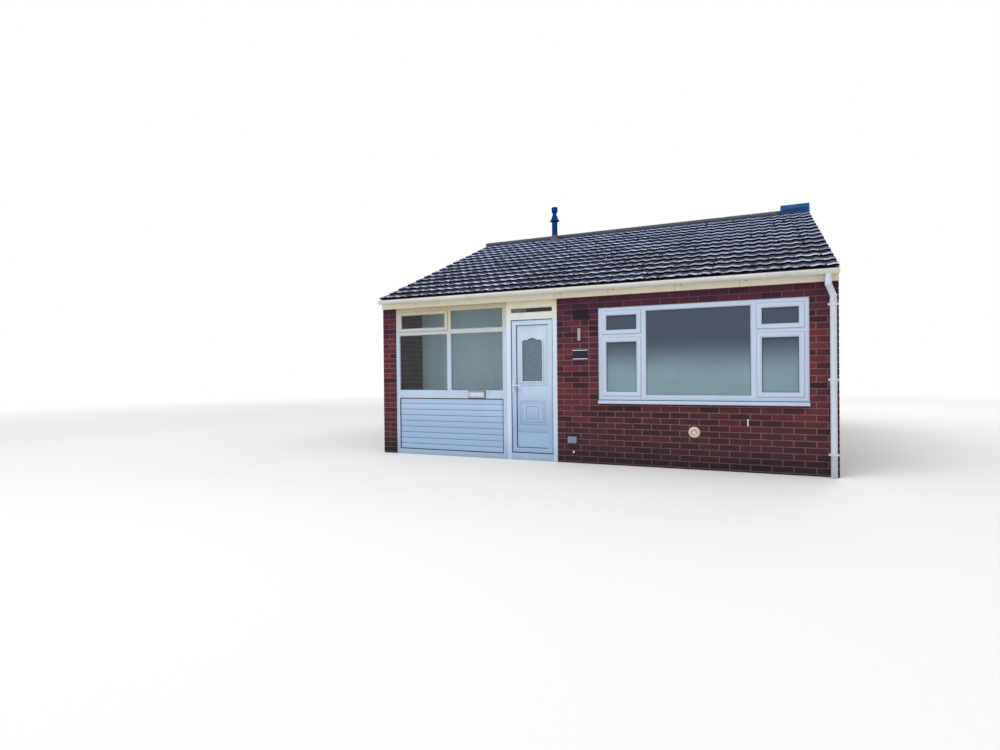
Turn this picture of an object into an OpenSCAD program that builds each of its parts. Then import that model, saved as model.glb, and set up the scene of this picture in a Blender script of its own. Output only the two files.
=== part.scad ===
// Single-storey terraced bungalow: brick walls, low tiled roof, plastic windows and a glazed porch screen.
// Millimetres. X runs along the front from left to right, Y into the house, Z up from the ground.
// The origin is at ground level, in the middle of the plan between the front and rear wall faces.

/* [House] */
// Width between the outer faces of the two party walls
house_w = 6096; // [5800:8:6800]
// Depth between the front and rear wall faces
house_d = 8534; // [7600:2:9400]
// Thickness of the front and rear cavity walls
wall_t = 280; // [250:5:330]
// Thickness of the solid party walls
party_t = 229; // [215:1:240]
// Height of one brick course with its joint
course_h = 76.2; // [75:0.1:77]
// Height of the first bed joint above the ground
base_joint_z = 20; // [0:1:40]
// Height of the ground floor above the ground
floor_h = 76; // [70:1:76]
// Height of the underside of the ceiling
ceiling_z = 2362; // [2350:1:2390]
// Thickness of the ceiling
ceiling_t = 25; // [12:1:40]

/* [Roof] */
// Pitch of both roof slopes in degrees
roof_pitch = 20.2; // [17:0.1:24]
// Number of tile courses on one slope
tile_courses = 15; // [12:1:18]
// Height of a course's front edge above the roof boards, at the top of its rolls
tile_nose = 62; // [56:1:70]
// Height of a course's upper end above the roof boards
tile_heel = 36; // [30:1:44]
// How far the first course reaches past the wall face
tile_overhang = 88; // [80:1:100]
// Thickness of the roof boards
board_t = 25; // [18:1:35]
// Half the width of a segmental ridge tile
ridge_half_w = 125; // [115:1:150]
// Rise of a ridge tile's arc over its lower edges
ridge_rise = 72; // [60:1:90]
// Wall of a ridge tile
ridge_t = 16; // [12:1:22]
// Nominal length of a ridge tile
ridge_len = 457; // [400:1:600]
// Mortar joint between two ridge tiles
ridge_joint = 8; // [4:1:14]

/* [Eaves] */
// Height of the fascia's lower edge
fascia_z = 2235; // [2230:1:2245]
// Height of the fascia board
fascia_h = 150; // [140:1:175]
// Thickness of the fascia board
fascia_t = 30; // [20:1:40]
// Outer radius of the half-round gutter
gutter_r = 56; // [50:1:62]
// Wall of the gutter and of the downpipe
gutter_t = 3; // [2:0.5:4]
// Height of the gutter's upper rim above the fascia's lower edge
gutter_up = 128; // [120:1:132]
// Outer diameter of the downpipe
pipe_d = 68; // [60:1:76]
// Number of lengths that make up one gutter
gutter_n = 4; // [3:1:5]
// Width of the union that joins two lengths, and of a bracket
union_w = 36; // [30:1:60]
// Gap between the downpipe and the wall
pipe_gap = 18; // [12:1:30]
// Distance of the downpipe from the right party line
pipe_inset = 60; // [50:1:120]
// Sideways step of the downpipe's swan neck
neck_step = 50; // [0:1:80]

/* [Front layout] */
// Width of the brickwork left of the porch opening, at least the party wall's thickness
pier_w = 229; // [229:1:320]
// Width of the brick panel right of the porch opening
panel_w = 3290; // [3200:1:3400]
// Distance of the front window from the right party line
window_clear = 290; // [260:1:340]
// How far the frames stand back from the brick face
frame_set = 12; // [6:1:30]
// Depth of the window and screen frames
frame_dep = 60; // [50:1:70]

/* [Windows] */
// Width of the wide windows
window_w = 2438; // [2380:1:2440]
// Height of the wide windows
window_h = 1219; // [1150:1:1240]
// Courses of brick from the first joint to the window heads
head_courses = 27; // [26:1:27]
// Height of the outer sill below a window
sill_h = 50; // [35:1:60]
// How far the outer sill stands out from the brick face
sill_out = 35; // [20:1:60]
// Width of the outer frame's bars
bar_w = 60; // [50:1:70]
// Width of mullions and transoms between sashes
mullion_w = 66; // [56:1:76]
// Visible width of a sash stile
stile_w = 45; // [38:1:55]
// Clear height of a top-hung fanlight's opening
fan_h = 286; // [240:1:320]
// Clear width of a side column's opening
side_w = 480; // [420:1:540]
// Width of the narrow rear window
small_w = 1219; // [1100:1:1300]
// Distance of the wide rear window from the party wall
rear_clear = 300; // [250:5:400]
// Width of the wall between the two rear windows
rear_pier_w = 700; // [600:5:900]
// Thickness of a sealed glass unit
glass_t = 24; // [16:1:28]
// Gap between a sash and its frame
sash_gap = 3; // [2:0.5:5]
// How far a sash's flange laps over the frame
sash_lap = 8; // [5:1:12]
// How far a sash stands out in front of its frame
sash_proud = 8; // [5:1:10]

/* [Porch screen] */
// Depth of the porch recess behind the brick face
porch_d = 860; // [700:5:1100]
// Thickness of the wall behind the porch
partition_t = 115; // [100:5:150]
// Height of the bottom rail
screen_sill_h = 73; // [50:1:74]
// Height of the lower edge of the middle rail
mid_rail_z = 858; // [800:1:900]
// Height of the middle rail
mid_rail_h = 114; // [100:1:140]
// Height of the lower edge of the upper transom
screen_transom_z = 1821; // [1760:1:1850]
// Height of the upper transom
screen_transom_h = 58; // [50:1:66]
// Height of the frame's head member
screen_head_h = 72; // [50:1:90]
// Width of the screen's uprights
screen_bar_w = 58; // [50:1:70]
// Pitch of the boards in the lower panel
board_pitch = 89; // [70:1:110]
// Depth of the groove between two boards
board_groove = 6; // [3:1:9]

/* [Front door] */
// Overall width of the door frame
door_frame_w = 742; // [720:1:860]
// Visible width of the door frame's bars
door_bar_w = 66; // [62:1:72]
// Depth of the door frame
door_frame_dep = 76; // [72:1:90]
// Height of the threshold's upstand
threshold_h = 98; // [92:1:110]
// Height of the lower edge of the transom over the leaf
door_transom_z = 1972; // [1940:1:1990]
// Height of the transom over the leaf
door_transom_h = 94; // [80:1:110]
// Thickness of the door leaf
leaf_t = 60; // [52:1:66]
// Visible width of the leaf's stiles and rails
leaf_stile_w = 73; // [65:1:80]
// How far the frame's stop laps over the leaf
door_lap = 12; // [8:1:16]
// Running gap round the leaf
door_gap = 6; // [5:0.5:7]
// Extra gap on the lock side, for the swing of the leaf's corner
lock_gap = 3; // [3:0.5:6]
// Width of the glazed light in the leaf
light_w = 288; // [240:1:310]
// Height of the glazed light's lower edge
light_z = 1110; // [1080:1:1150]
// Height of the glazed light's shoulders
light_shoulder_z = 1667; // [1600:1:1690]
// Rise of the middle lobe above the shoulders
light_rise = 45; // [35:1:60]
// Height of the lever handle's spindle
lever_z = 1050; // [1000:1:1100]
// Length of the lever
lever_len = 118; // [100:1:130]

/* [Fittings] */
// Diameter of the flue pipe
flue_d = 110; // [95:1:130]
// Height of the flue above the roof at its axis
flue_h = 650; // [560:1:760]
// Distance of the flue from the right party line
flue_inset = 4490; // [4300:1:4700]
// Distance of the flue in front of the ridge line
flue_ridge = 320; // [310:5:1200]
// Length of the ridge vent
ridge_vent_len = 440; // [380:1:520]
// Height of the ridge vent over the ridge tiles
ridge_vent_up = 66; // [40:1:90]
// Length of the letter plate
letter_w = 253; // [230:1:270]
// Height of the letter plate
letter_h = 90; // [86:1:96]
// Distance of the letter plate's middle from the screen's right upright
letter_inset = 415; // [300:5:600]

/* [Hidden] */

$fn = 48;
FIT = 0.3;
PIN_FIT = 0.1;
BIG = 20000;
BRICK = "#6e3a34";
TILE = "#4b413c";
PLASTIC = "#e9ecee";
CREAM = "#e8dfc0";
GLASS = "#7d8b90";

xl = -house_w / 2;
xr = house_w / 2;
yf = -house_d / 2;
yr = house_d / 2;
inner_xl = xl + party_t;
inner_xr = xr - party_t;
inner_yf = yf + wall_t;
inner_yr = yr - wall_t;

porch_x0 = xl + max(pier_w, party_t);
porch_x1 = xr - panel_w;
window_x0 = xr - window_clear - window_w;
head_z = base_joint_z + head_courses * course_h;
window_z0 = head_z - window_h;
small_h = window_h - 2 * course_h;
frame_y0 = yf + frame_set;
frame_y1 = frame_y0 + frame_dep;

// Roof planes: height of the roof boards' upper face at a distance behind the fascia's front face
fascia_top = fascia_z + fascia_h;
function board_z(y) = fascia_top + (y - (yf - fascia_t)) * tan(roof_pitch);
board_drop = board_t / cos(roof_pitch);
apex_z = board_z(0);
tile_run = house_d / 2 + tile_overhang;
tile_gauge = tile_run / cos(roof_pitch) / tile_courses;
// The ridge tiles' arc, the half width inside it, the height of its lower edges and of its centre
ridge_r = (pow(ridge_half_w, 2) + pow(ridge_rise, 2)) / (2 * ridge_rise);
ridge_in_w = sqrt(pow(ridge_r - ridge_t, 2) - pow(ridge_r - ridge_rise, 2));
ridge_zb = apex_z + tile_nose / cos(roof_pitch) - ridge_in_w * tan(roof_pitch) + FIT;
ridge_zc = ridge_zb - ridge_r + ridge_rise;
ridge_top_z = ridge_zb + ridge_rise;
ridge_x1 = xr - ridge_vent_len;
ridge_n = round((ridge_x1 - xl) / ridge_len);
ridge_pitch = (ridge_x1 - xl) / ridge_n;

bracket_t = 4;
plate_over = 8;
spigot_in = 15;
gutter_yc = yf - fascia_t - FIT - bracket_t - gutter_r;
gutter_top = fascia_z + gutter_up;
pipe_yc = yf - pipe_gap - pipe_d / 2;
pipe_x = xr - pipe_inset;
outlet_x = pipe_x - neck_step;
neck_top_z = fascia_z - 20;
neck_low_z = neck_top_z - 150;

// Porch screen and door set
door_x0 = porch_x1 - door_frame_w;
door_x1 = porch_x1;
screen_x0 = porch_x0;
screen_x1 = door_x0;
screen_light_w = (screen_x1 - screen_x0 - 3 * screen_bar_w) / 2;
screen_mullion_x = screen_x0 + screen_bar_w + screen_light_w;
screen_head_z = fascia_z - screen_head_h;
screen_transom_top = screen_transom_z + screen_transom_h;
mid_rail_top = mid_rail_z + mid_rail_h;
door_head_z = fascia_z - 96;
door_light_z0 = door_transom_z + door_transom_h;
day_x0 = door_x0 + door_bar_w;
day_x1 = door_x1 - door_bar_w;
stop_t = 10;
door_y0 = frame_y0;
door_y1 = door_y0 + door_frame_dep;
leaf_y0 = door_y0 + stop_t + 5;
leaf_y1 = leaf_y0 + leaf_t;
leaf_x0 = day_x0 - door_lap;
leaf_x1 = day_x1 + door_lap;
leaf_z0 = floor_h + door_gap + 1;
leaf_z1 = door_transom_z + door_lap;
threshold_top = floor_h - 6;
panel_x0 = day_x0 + leaf_stile_w;
panel_x1 = day_x1 - leaf_stile_w;
panel_z0 = threshold_h + leaf_stile_w;
panel_z1 = door_transom_z - leaf_stile_w;
panel_in = 16;
light_x = (day_x0 + day_x1) / 2;
hinge_r = 8;
hinge_x = leaf_x1 + 3;
hinge_y = leaf_y1 + hinge_r + 1;
hinge_pin_r = 4;
hinge_len = 90;
hinge_inset = 180;
hinge_zs = [leaf_z0 + hinge_inset, (leaf_z0 + leaf_z1) / 2, leaf_z1 - hinge_inset];
lever_x = day_x0 + 30;
plate_t = 9;
lever_out = 46;

// Letter plate in the middle rail of the screen
letter_x = screen_x1 - screen_bar_w - letter_inset;
letter_z = mid_rail_z + mid_rail_h / 2;
letter_rim = 8;
flap_gap = 5;
slot_w = 190;
slot_h = 40;
flap_pin_r = 2;
flap_w = letter_w - 2 * letter_rim - 2 * flap_gap;
flap_top = letter_z + letter_h / 2 - letter_rim - flap_gap;
flap_bottom = letter_z - letter_h / 2 + letter_rim + flap_gap;
flap_pin_z = flap_top - 4;
flap_y = frame_y0 - 7;

// Building blocks

module block(x0, x1, y0, y1, z0, z1) {
  translate([x0, y0, z0]) cube([x1 - x0, y1 - y0, z1 - z0]);
}

// An outline drawn in Y and Z, drawn out along X
module along_x(x0, x1) {
  translate([x0, 0, 0]) rotate([90, 0, 90]) linear_extrude(x1 - x0) children();
}

module turned_x(x, y, z, r, len) {
  translate([x, y, z]) rotate([0, 90, 0]) cylinder(r = r, h = len);
}

module turned_y(x, y, z, r, len) {
  translate([x, y, z]) rotate([-90, 0, 0]) cylinder(r = r, h = len);
}

module to_rear() {
  mirror([0, 1, 0]) children();
}

// Walls and floor

// The walls end a hair below the roof boards, and the tiles lie a hair above them
function under_boards(y) = board_z(y) - board_drop - FIT;

module wall_profile() {
  polygon([[yf, 0], [inner_yf, 0], [inner_yf, under_boards(inner_yf)], [yf, under_boards(yf)]]);
}

module party_profile() {
  polygon([[yf, 0], [yr, 0], [yr, board_z(yf)], [0, apex_z], [yf, board_z(yf)]]);
}

module floor_slab() {
  color("#9a9890") {
    block(inner_xl, inner_xr, inner_yf, inner_yr, 0, floor_h);
    block(screen_x0, screen_x1, frame_y1, inner_yf, 0, floor_h);
    block(door_x0, door_x1, door_y1, inner_yf, 0, floor_h);
  }
}

module left_party_wall() {
  color(BRICK) {
    along_x(xl, inner_xl) party_profile();
    if (pier_w > party_t) along_x(inner_xl, porch_x0) wall_profile();
  }
}

module right_party_wall() {
  color(BRICK) along_x(inner_xr, xr) party_profile();
}

module window_hole(x0, w, h) {
  block(x0, x0 + w, yf - 1, inner_yf + 1, head_z - h - sill_h, head_z);
}

module front_wall() {
  color(BRICK) difference() {
    along_x(porch_x1, inner_xr) wall_profile();
    window_hole(window_x0, window_w, window_h);
  }
}

rear_wide_x0 = inner_xl + rear_clear;
rear_small_x0 = rear_wide_x0 + window_w + rear_pier_w;

module rear_wall() {
  color(BRICK) to_rear() difference() {
    along_x(inner_xl, inner_xr) wall_profile();
    window_hole(rear_wide_x0, window_w, window_h);
    window_hole(rear_small_x0, small_w, small_h);
  }
}

// The wall that shows through the screen's panes; it leaves the way behind the front door open
module porch_back_wall() {
  color("#7f8a86") block(inner_xl, screen_x1 - FIT, yf + porch_d, yf + porch_d + partition_t, floor_h, ceiling_z);
}

module porch_head() {
  color(CREAM) along_x(porch_x0, porch_x1) polygon([[yf, fascia_z], [inner_yf, fascia_z],
    [inner_yf, under_boards(inner_yf)], [yf, under_boards(yf)]]);
}

module ceiling() {
  color("white") block(inner_xl, inner_xr, inner_yf, inner_yr, ceiling_z, ceiling_z + ceiling_t);
}

// Roof

module roof_boards() {
  along_x(inner_xl, inner_xr) polygon([[yf, board_z(yf) - board_drop], [0, apex_z - board_drop],
    [0, apex_z], [yf, board_z(yf)]]);
}

module front_roof_boards() {
  color("#a58358") roof_boards();
}

module rear_roof_boards() {
  color("#a58358") to_rear() roof_boards();
}

// One course is a wedge: its nose stands on the course below, its heel runs up under the next one
function course_outline(i) = [[i * tile_gauge, tile_nose], [(i + 1) * tile_gauge, tile_heel]];

module tile_profile() {
  steps = [for (i = [0 : tile_courses - 1]) for (p = course_outline(i)) p];
  intersection() {
    translate([yf - tile_overhang, board_z(yf - tile_overhang)]) rotate(roof_pitch)
      polygon(concat([[0, FIT]], steps, [[tile_courses * tile_gauge, tile_nose],
        [(tile_courses + 1) * tile_gauge, tile_nose], [(tile_courses + 1) * tile_gauge, FIT]]));
    translate([-BIG, 0]) square([BIG, BIG]);
  }
}

module front_roof_tiles() {
  color(TILE) along_x(xl, xr) tile_profile();
}

module rear_roof_tiles() {
  color(TILE) to_rear() along_x(xl, xr) tile_profile();
}

// Everything below the upper faces of both tile slopes
module under_tiles() {
  tile_profile();
  mirror([1, 0]) tile_profile();
  polygon([[0, apex_z + 1], [yf, board_z(yf) + 1], [yf, 0], [yr, 0], [yr, board_z(yf) + 1]]);
}

module ridge_bed() {
  color("#8b857c") along_x(xl, ridge_x1) difference() {
    translate([0, ridge_zc]) circle(r = ridge_r - ridge_t - FIT);
    under_tiles();
  }
}

module ridge_tiles() {
  color("#5a4c45") for (i = [0 : ridge_n - 1])
    along_x(xl + i * ridge_pitch + (i == 0 ? 0 : ridge_joint / 2),
            xl + (i + 1) * ridge_pitch - ridge_joint / 2)
      intersection() {
        translate([0, ridge_zc]) difference() {
          circle(r = ridge_r);
          circle(r = ridge_r - ridge_t);
        }
        translate([-ridge_r, ridge_zb]) square([2 * ridge_r, ridge_r]);
      }
}

vent_half = 165;
vent_wall_z = ridge_zb + 60;

module ridge_vent() {
  color("#33475f") difference() {
    along_x(ridge_x1, xr) difference() {
      polygon([[-vent_half, ridge_zb - 30], [vent_half, ridge_zb - 30], [vent_half, vent_wall_z],
        [vent_half - 60, ridge_top_z + ridge_vent_up], [60 - vent_half, ridge_top_z + ridge_vent_up],
        [-vent_half, vent_wall_z]]);
      under_tiles();
      translate([0, FIT]) under_tiles();
    }
    for (i = [0 : 2]) for (side = [-1, 1])
      translate([(ridge_x1 + xr) / 2, side * vent_half, vent_wall_z - 18 - 20 * i])
        cube([ridge_vent_len - 70, 24, 9], center = true);
  }
}

flue_x = xr - flue_inset;
flue_y = -flue_ridge;
flue_seat_z = board_z(flue_y) + (tile_nose + FIT) / cos(roof_pitch);
flash_t = 6;
flash_w = 400;
flash_low = 230;

module flue_flashing() {
  color("#6b7078") translate([flue_x, flue_y, flue_seat_z]) rotate([roof_pitch, 0, 0])
    translate([-flash_w / 2, -flash_low, 0]) cube([flash_w, flash_w, flash_t]);
}

cap_h = 95;
cap_out = 5;
neck_h = 62;
neck_in = 15;
cone_h = 122;
cone_out = 41;
flue_wall = 4;

// Half section of the terminal: pipe, flared skirt, neck and closed cap
module flue_outline() {
  r = flue_d / 2;
  cap_z = flue_h - cap_h;
  cone_z = cap_z - neck_h - cone_h;
  polygon([[r - flue_wall, -flue_d], [r, -flue_d], [r, cone_z], [r + cone_out, cone_z], [r + cone_out, cone_z + 8],
    [r + cone_out / 2, cone_z + 30], [r - neck_in + 4, cap_z - neck_h], [r - neck_in, cap_z - neck_h + 6],
    [r - neck_in, cap_z], [r + cap_out, cap_z], [r + cap_out, flue_h], [0, flue_h], [0, flue_h - 2 * flue_wall],
    [r + cap_out - 6, flue_h - 2 * flue_wall], [r + cap_out - 6, cap_z + 6], [r - neck_in - flue_wall, cap_z + 6],
    [r - neck_in - flue_wall, cone_z + 60], [r - flue_wall, cone_z + 20]]);
}

module flue_terminal() {
  color("#22262b") difference() {
    translate([flue_x, flue_y, flue_seat_z]) rotate_extrude() flue_outline();
    translate([flue_x, flue_y, flue_seat_z]) rotate([roof_pitch, 0, 0])
      translate([-flash_w, -flash_w, -flash_w]) cube([2 * flash_w, 2 * flash_w, flash_w + flash_t + FIT]);
  }
}

// Eaves

module fascia() {
  along_x(xl, xr) polygon([[yf - fascia_t, fascia_z], [yf, fascia_z], [yf, board_z(yf)],
    [yf - fascia_t, fascia_top]]);
}

module front_fascia() {
  color(CREAM) fascia();
}

module rear_fascia() {
  color(CREAM) to_rear() fascia();
}

module half_disc(r) {
  intersection() {
    circle(r = r);
    translate([-r, -r]) square([2 * r, r]);
  }
}

module half_ring(r, t) {
  difference() {
    half_disc(r);
    circle(r = r - t);
  }
}

spigot_r = pipe_d / 2 - gutter_t - FIT;
spigot_z = neck_top_z - spigot_in;
gutter_len = house_w / gutter_n;

// A strap round the gutter with a plate against the fascia
module bracket(x0, x1) {
  along_x(x0, x1) translate([gutter_yc, gutter_top]) {
    half_ring(gutter_r + bracket_t, bracket_t);
    translate([gutter_r, -gutter_r - plate_over]) square([bracket_t, gutter_r + 2 * plate_over]);
  }
}

// One length of gutter: a bracket at its middle, and the union's strap under its right end
module gutter_length(i) {
  x0 = xl + i * gutter_len + (i == 0 ? 0 : FIT / 2);
  x1 = xl + (i + 1) * gutter_len - (i == gutter_n - 1 ? 0 : FIT / 2);
  along_x(x0, x1) translate([gutter_yc, gutter_top]) half_ring(gutter_r, gutter_t);
  bracket((x0 + x1 - union_w) / 2, (x0 + x1 + union_w) / 2);
  if (i < gutter_n - 1) bracket(x1 - union_w, x1);
  if (i == 0) along_x(xl, xl + gutter_t) translate([gutter_yc, gutter_top]) half_disc(gutter_r);
  if (i == gutter_n - 1) {
    along_x(xr - gutter_t, xr) translate([gutter_yc, gutter_top]) half_disc(gutter_r);
    translate([outlet_x, gutter_yc, spigot_z]) cylinder(r = spigot_r, h = gutter_top - gutter_r - spigot_z + 10);
  }
}

module gutter() {
  difference() {
    for (i = [0 : gutter_n - 1]) gutter_length(i);
    translate([outlet_x, gutter_yc, spigot_z - 1]) cylinder(r = spigot_r - gutter_t, h = gutter_top - spigot_z);
    along_x(xl + gutter_t, xr - gutter_t) translate([gutter_yc, gutter_top]) circle(r = gutter_r - gutter_t);
  }
}

module front_gutter() {
  color(PLASTIC) gutter();
}

module rear_gutter() {
  color(PLASTIC) to_rear() gutter();
}

// A round rod between two points
module tube_run(a, b, r) {
  v = b - a;
  translate(a) rotate([0, acos(v[2] / norm(v)), atan2(v[1], v[0])]) cylinder(r = r, h = norm(v));
}

// The pipe's centre line with its two offset bends; bend_r is the radius of the bends' sockets
module pipe_path(r, bend_r, cut) {
  top = [outlet_x, gutter_yc, fascia_z + 30 + cut];
  knee_a = [outlet_x, gutter_yc, neck_top_z - 20];
  knee_b = [pipe_x, pipe_yc, neck_low_z];
  foot = [pipe_x, pipe_yc, -cut];
  tube_run(top, knee_a, r);
  tube_run(knee_a, knee_b, r);
  tube_run(knee_b, foot, r);
  translate(knee_a) sphere(r = bend_r);
  translate(knee_b) sphere(r = bend_r);
}

clip_zs = [neck_low_z - 110, (neck_low_z - 110) / 2 + 125, 250];

module downpipe() {
  difference() {
    union() {
      pipe_path(pipe_d / 2, pipe_d / 2 + 3, 0);
      for (z = clip_zs) translate([pipe_x, pipe_yc, z]) {
        cylinder(r = pipe_d / 2 + 4, h = 24);
        translate([-18, 0, 0]) cube([36, yf - pipe_yc, 24]);
        for (s = [-1, 1]) translate([s * (pipe_d / 2 + 8) - 10, -6, 0]) cube([20, 12, 24]);
      }
    }
    pipe_path(pipe_d / 2 - gutter_t, pipe_d / 2 - gutter_t + 1, 1);
  }
}

module front_downpipe() {
  color(PLASTIC) downpipe();
}

module rear_downpipe() {
  color(PLASTIC) to_rear() downpipe();
}

// Windows, drawn on the front face; the rear ones are mirrored

// Openings of a window: [x, z, width, height, 1 for a sash or 0 for fixed glass]
function wide_lights(x0, z0, w, h) =
  let (cx = w - 2 * bar_w - 2 * side_w - 2 * mullion_w, ch = h - 2 * bar_w, low_h = ch - fan_h - mullion_w,
       xs = [x0 + bar_w, x0 + w - bar_w - side_w], fan_z = z0 + h - bar_w - fan_h)
  concat([for (x = xs) [x, z0 + bar_w, side_w, low_h, 1]], [for (x = xs) [x, fan_z, side_w, fan_h, 1]],
    [[x0 + bar_w + side_w + mullion_w, z0 + bar_w, cx, ch, 0]]);

function small_lights(x0, z0, w, h) =
  let (ch = h - 2 * bar_w, low_h = ch - fan_h - mullion_w, x = x0 + w - bar_w - side_w)
  [[x, z0 + bar_w, side_w, low_h, 1], [x, z0 + h - bar_w - fan_h, side_w, fan_h, 1],
   [x0 + bar_w, z0 + bar_w, w - 2 * bar_w - side_w - mullion_w, ch, 0]];

front_lights = wide_lights(window_x0, window_z0, window_w, window_h);
rear_lights = concat(wide_lights(rear_wide_x0, window_z0, window_w, window_h),
  small_lights(rear_small_x0, head_z - small_h, small_w, small_h));

glass_y0 = frame_y0 + frame_dep / 2 - glass_t / 2;

module window_frame(x0, z0, w, h, lights) {
  difference() {
    block(x0, x0 + w, frame_y0, frame_y1, z0, z0 + h);
    for (l = lights) block(l[0], l[0] + l[2], frame_y0 - 1, frame_y1 + 1, l[1], l[1] + l[3]);
  }
}

// A sash: the body sits in the opening and its flange laps over the frame's face
module sash(x, z, w, h, stile) {
  difference() {
    union() {
      block(x - sash_lap, x + w + sash_lap, frame_y0 - sash_proud, frame_y0, z - sash_lap, z + h + sash_lap);
      block(x + sash_gap, x + w - sash_gap, frame_y0 - sash_proud, frame_y1, z + sash_gap, z + h - sash_gap);
    }
    block(x + stile, x + w - stile, frame_y0 - BIG, frame_y0 + BIG, z + stile, z + h - stile);
    block(x + stile - 10, x + w - stile + 10, frame_y0 - sash_proud - 1, frame_y0 - sash_proud + 6,
      z + stile - 10, z + h - stile + 10);
  }
}

module sashes(lights) {
  for (l = lights) if (l[4] == 1) sash(l[0], l[1], l[2], l[3], stile_w);
}

// Panes sit in the sash where there is one, and else in the frame's opening
module panes(lights) {
  for (l = lights) {
    m = l[4] == 1 ? stile_w : 0;
    block(l[0] + m, l[0] + l[2] - m, glass_y0, glass_y0 + glass_t, l[1] + m, l[1] + l[3] - m);
  }
}

module sill(x0, z0, w) {
  along_x(x0, x0 + w) polygon([[frame_y1, z0], [yf - sill_out, z0 - 14], [yf - sill_out, z0 - sill_h],
    [yf - sill_out + 8, z0 - sill_h], [yf - sill_out + 8, z0 - sill_h + 6], [yf, z0 - sill_h + 6],
    [yf, z0 - sill_h], [frame_y1, z0 - sill_h]]);
}

module front_window_frame() {
  color(PLASTIC) window_frame(window_x0, window_z0, window_w, window_h, front_lights);
}

module front_window_sashes() {
  color(PLASTIC) sashes(front_lights);
}

module front_window_glass() {
  color(GLASS) panes(front_lights);
}

module front_window_sill() {
  color(PLASTIC) sill(window_x0, window_z0, window_w);
}

module rear_window_frames() {
  color(PLASTIC) to_rear() {
    window_frame(rear_wide_x0, window_z0, window_w, window_h, rear_lights);
    window_frame(rear_small_x0, head_z - small_h, small_w, small_h, rear_lights);
  }
}

module rear_window_sashes() {
  color(PLASTIC) to_rear() sashes(rear_lights);
}

module rear_window_glass() {
  color(GLASS) to_rear() panes(rear_lights);
}

module rear_window_sills() {
  color(PLASTIC) to_rear() {
    sill(rear_wide_x0, window_z0, window_w);
    sill(rear_small_x0, head_z - small_h, small_w);
  }
}

// Porch screen

screen_lx = screen_x0 + screen_bar_w;
screen_rx = screen_mullion_x + screen_bar_w;
fan_stile_w = 40;
fan_light = [screen_lx, screen_transom_top, screen_light_w, screen_head_z - screen_transom_top];
panel_w_clear = screen_x1 - screen_bar_w - screen_lx;

module screen_frame() {
  color(PLASTIC) difference() {
    block(screen_x0, screen_x1, frame_y0, frame_y1, 0, fascia_z);
    for (x = [screen_lx, screen_rx]) {
      block(x, x + screen_light_w, frame_y0 - 1, frame_y1 + 1, screen_transom_top, screen_head_z);
      block(x, x + screen_light_w, frame_y0 - 1, frame_y1 + 1, mid_rail_top, screen_transom_z);
    }
    block(screen_lx, screen_x1 - screen_bar_w, frame_y0 - 1, frame_y1 + 1, screen_sill_h, mid_rail_z);
    block(letter_x - slot_w / 2, letter_x + slot_w / 2, frame_y0 - 1, frame_y1 + 1,
      letter_z - slot_h / 2, letter_z + slot_h / 2);
  }
}

module screen_fanlight() {
  color(PLASTIC) sash(fan_light[0], fan_light[1], fan_light[2], fan_light[3], fan_stile_w);
}

module screen_glass() {
  color(GLASS) {
    block(fan_light[0] + fan_stile_w, fan_light[0] + fan_light[2] - fan_stile_w, glass_y0, glass_y0 + glass_t,
      fan_light[1] + fan_stile_w, fan_light[1] + fan_light[3] - fan_stile_w);
    block(screen_rx, screen_rx + screen_light_w, glass_y0, glass_y0 + glass_t, screen_transom_top, screen_head_z);
    for (x = [screen_lx, screen_rx])
      block(x, x + screen_light_w, glass_y0, glass_y0 + glass_t, mid_rail_top, screen_transom_z);
    block(day_x0, day_x1, glass_y0, glass_y0 + glass_t, door_light_z0, door_head_z);
  }
}

board_n = max(1, round((mid_rail_z - screen_sill_h) / board_pitch));
board_h = (mid_rail_z - screen_sill_h) / board_n;
panel_y0 = frame_y0 + 14;

// Horizontal boards with a rebated groove between them
module screen_panel() {
  color(PLASTIC) along_x(screen_lx, screen_x1 - screen_bar_w) difference() {
    translate([panel_y0, screen_sill_h]) square([28, mid_rail_z - screen_sill_h]);
    for (i = [1 : board_n - 1]) translate([panel_y0 - 1, screen_sill_h + i * board_h])
      polygon([[0, -12], [1 + board_groove, -3], [1 + board_groove, 3], [0, 3]]);
  }
}

module letter_plate() {
  color("#dfe3e6") {
    difference() {
      block(letter_x - letter_w / 2, letter_x + letter_w / 2, frame_y0 - 12, frame_y0,
        letter_z - letter_h / 2, letter_z + letter_h / 2);
      block(letter_x - letter_w / 2 + letter_rim, letter_x + letter_w / 2 - letter_rim, frame_y0 - 13,
        frame_y0 + 1, letter_z - letter_h / 2 + letter_rim, letter_z + letter_h / 2 - letter_rim);
    }
    turned_x(letter_x - letter_w / 2 + letter_rim / 2, flap_y, flap_pin_z, flap_pin_r, letter_w - letter_rim);
  }
}

module letter_flap() {
  color(PLASTIC) difference() {
    union() {
      block(letter_x - flap_w / 2, letter_x + flap_w / 2, flap_y - 2, flap_y + 2, flap_bottom, flap_pin_z);
      turned_x(letter_x - flap_w / 2, flap_y, flap_pin_z, 4, flap_w);
    }
    turned_x(letter_x - flap_w, flap_y, flap_pin_z, flap_pin_r + PIN_FIT, 2 * flap_w);
  }
}

// Front door

module door_frame() {
  color(PLASTIC) difference() {
    block(door_x0, door_x1, door_y0, door_y1, 0, fascia_z);
    block(day_x0, day_x1, door_y0 - 1, door_y1 + 1, -1, door_transom_z);
    block(leaf_x0 - door_gap - lock_gap, leaf_x1 + door_gap, door_y0 + stop_t, door_y1 + 1,
      leaf_z0 - door_gap - 1, leaf_z1 + door_gap);
    block(day_x0, day_x1, door_y0 - 1, door_y1 + 1, door_light_z0, door_head_z);
  }
}

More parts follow.
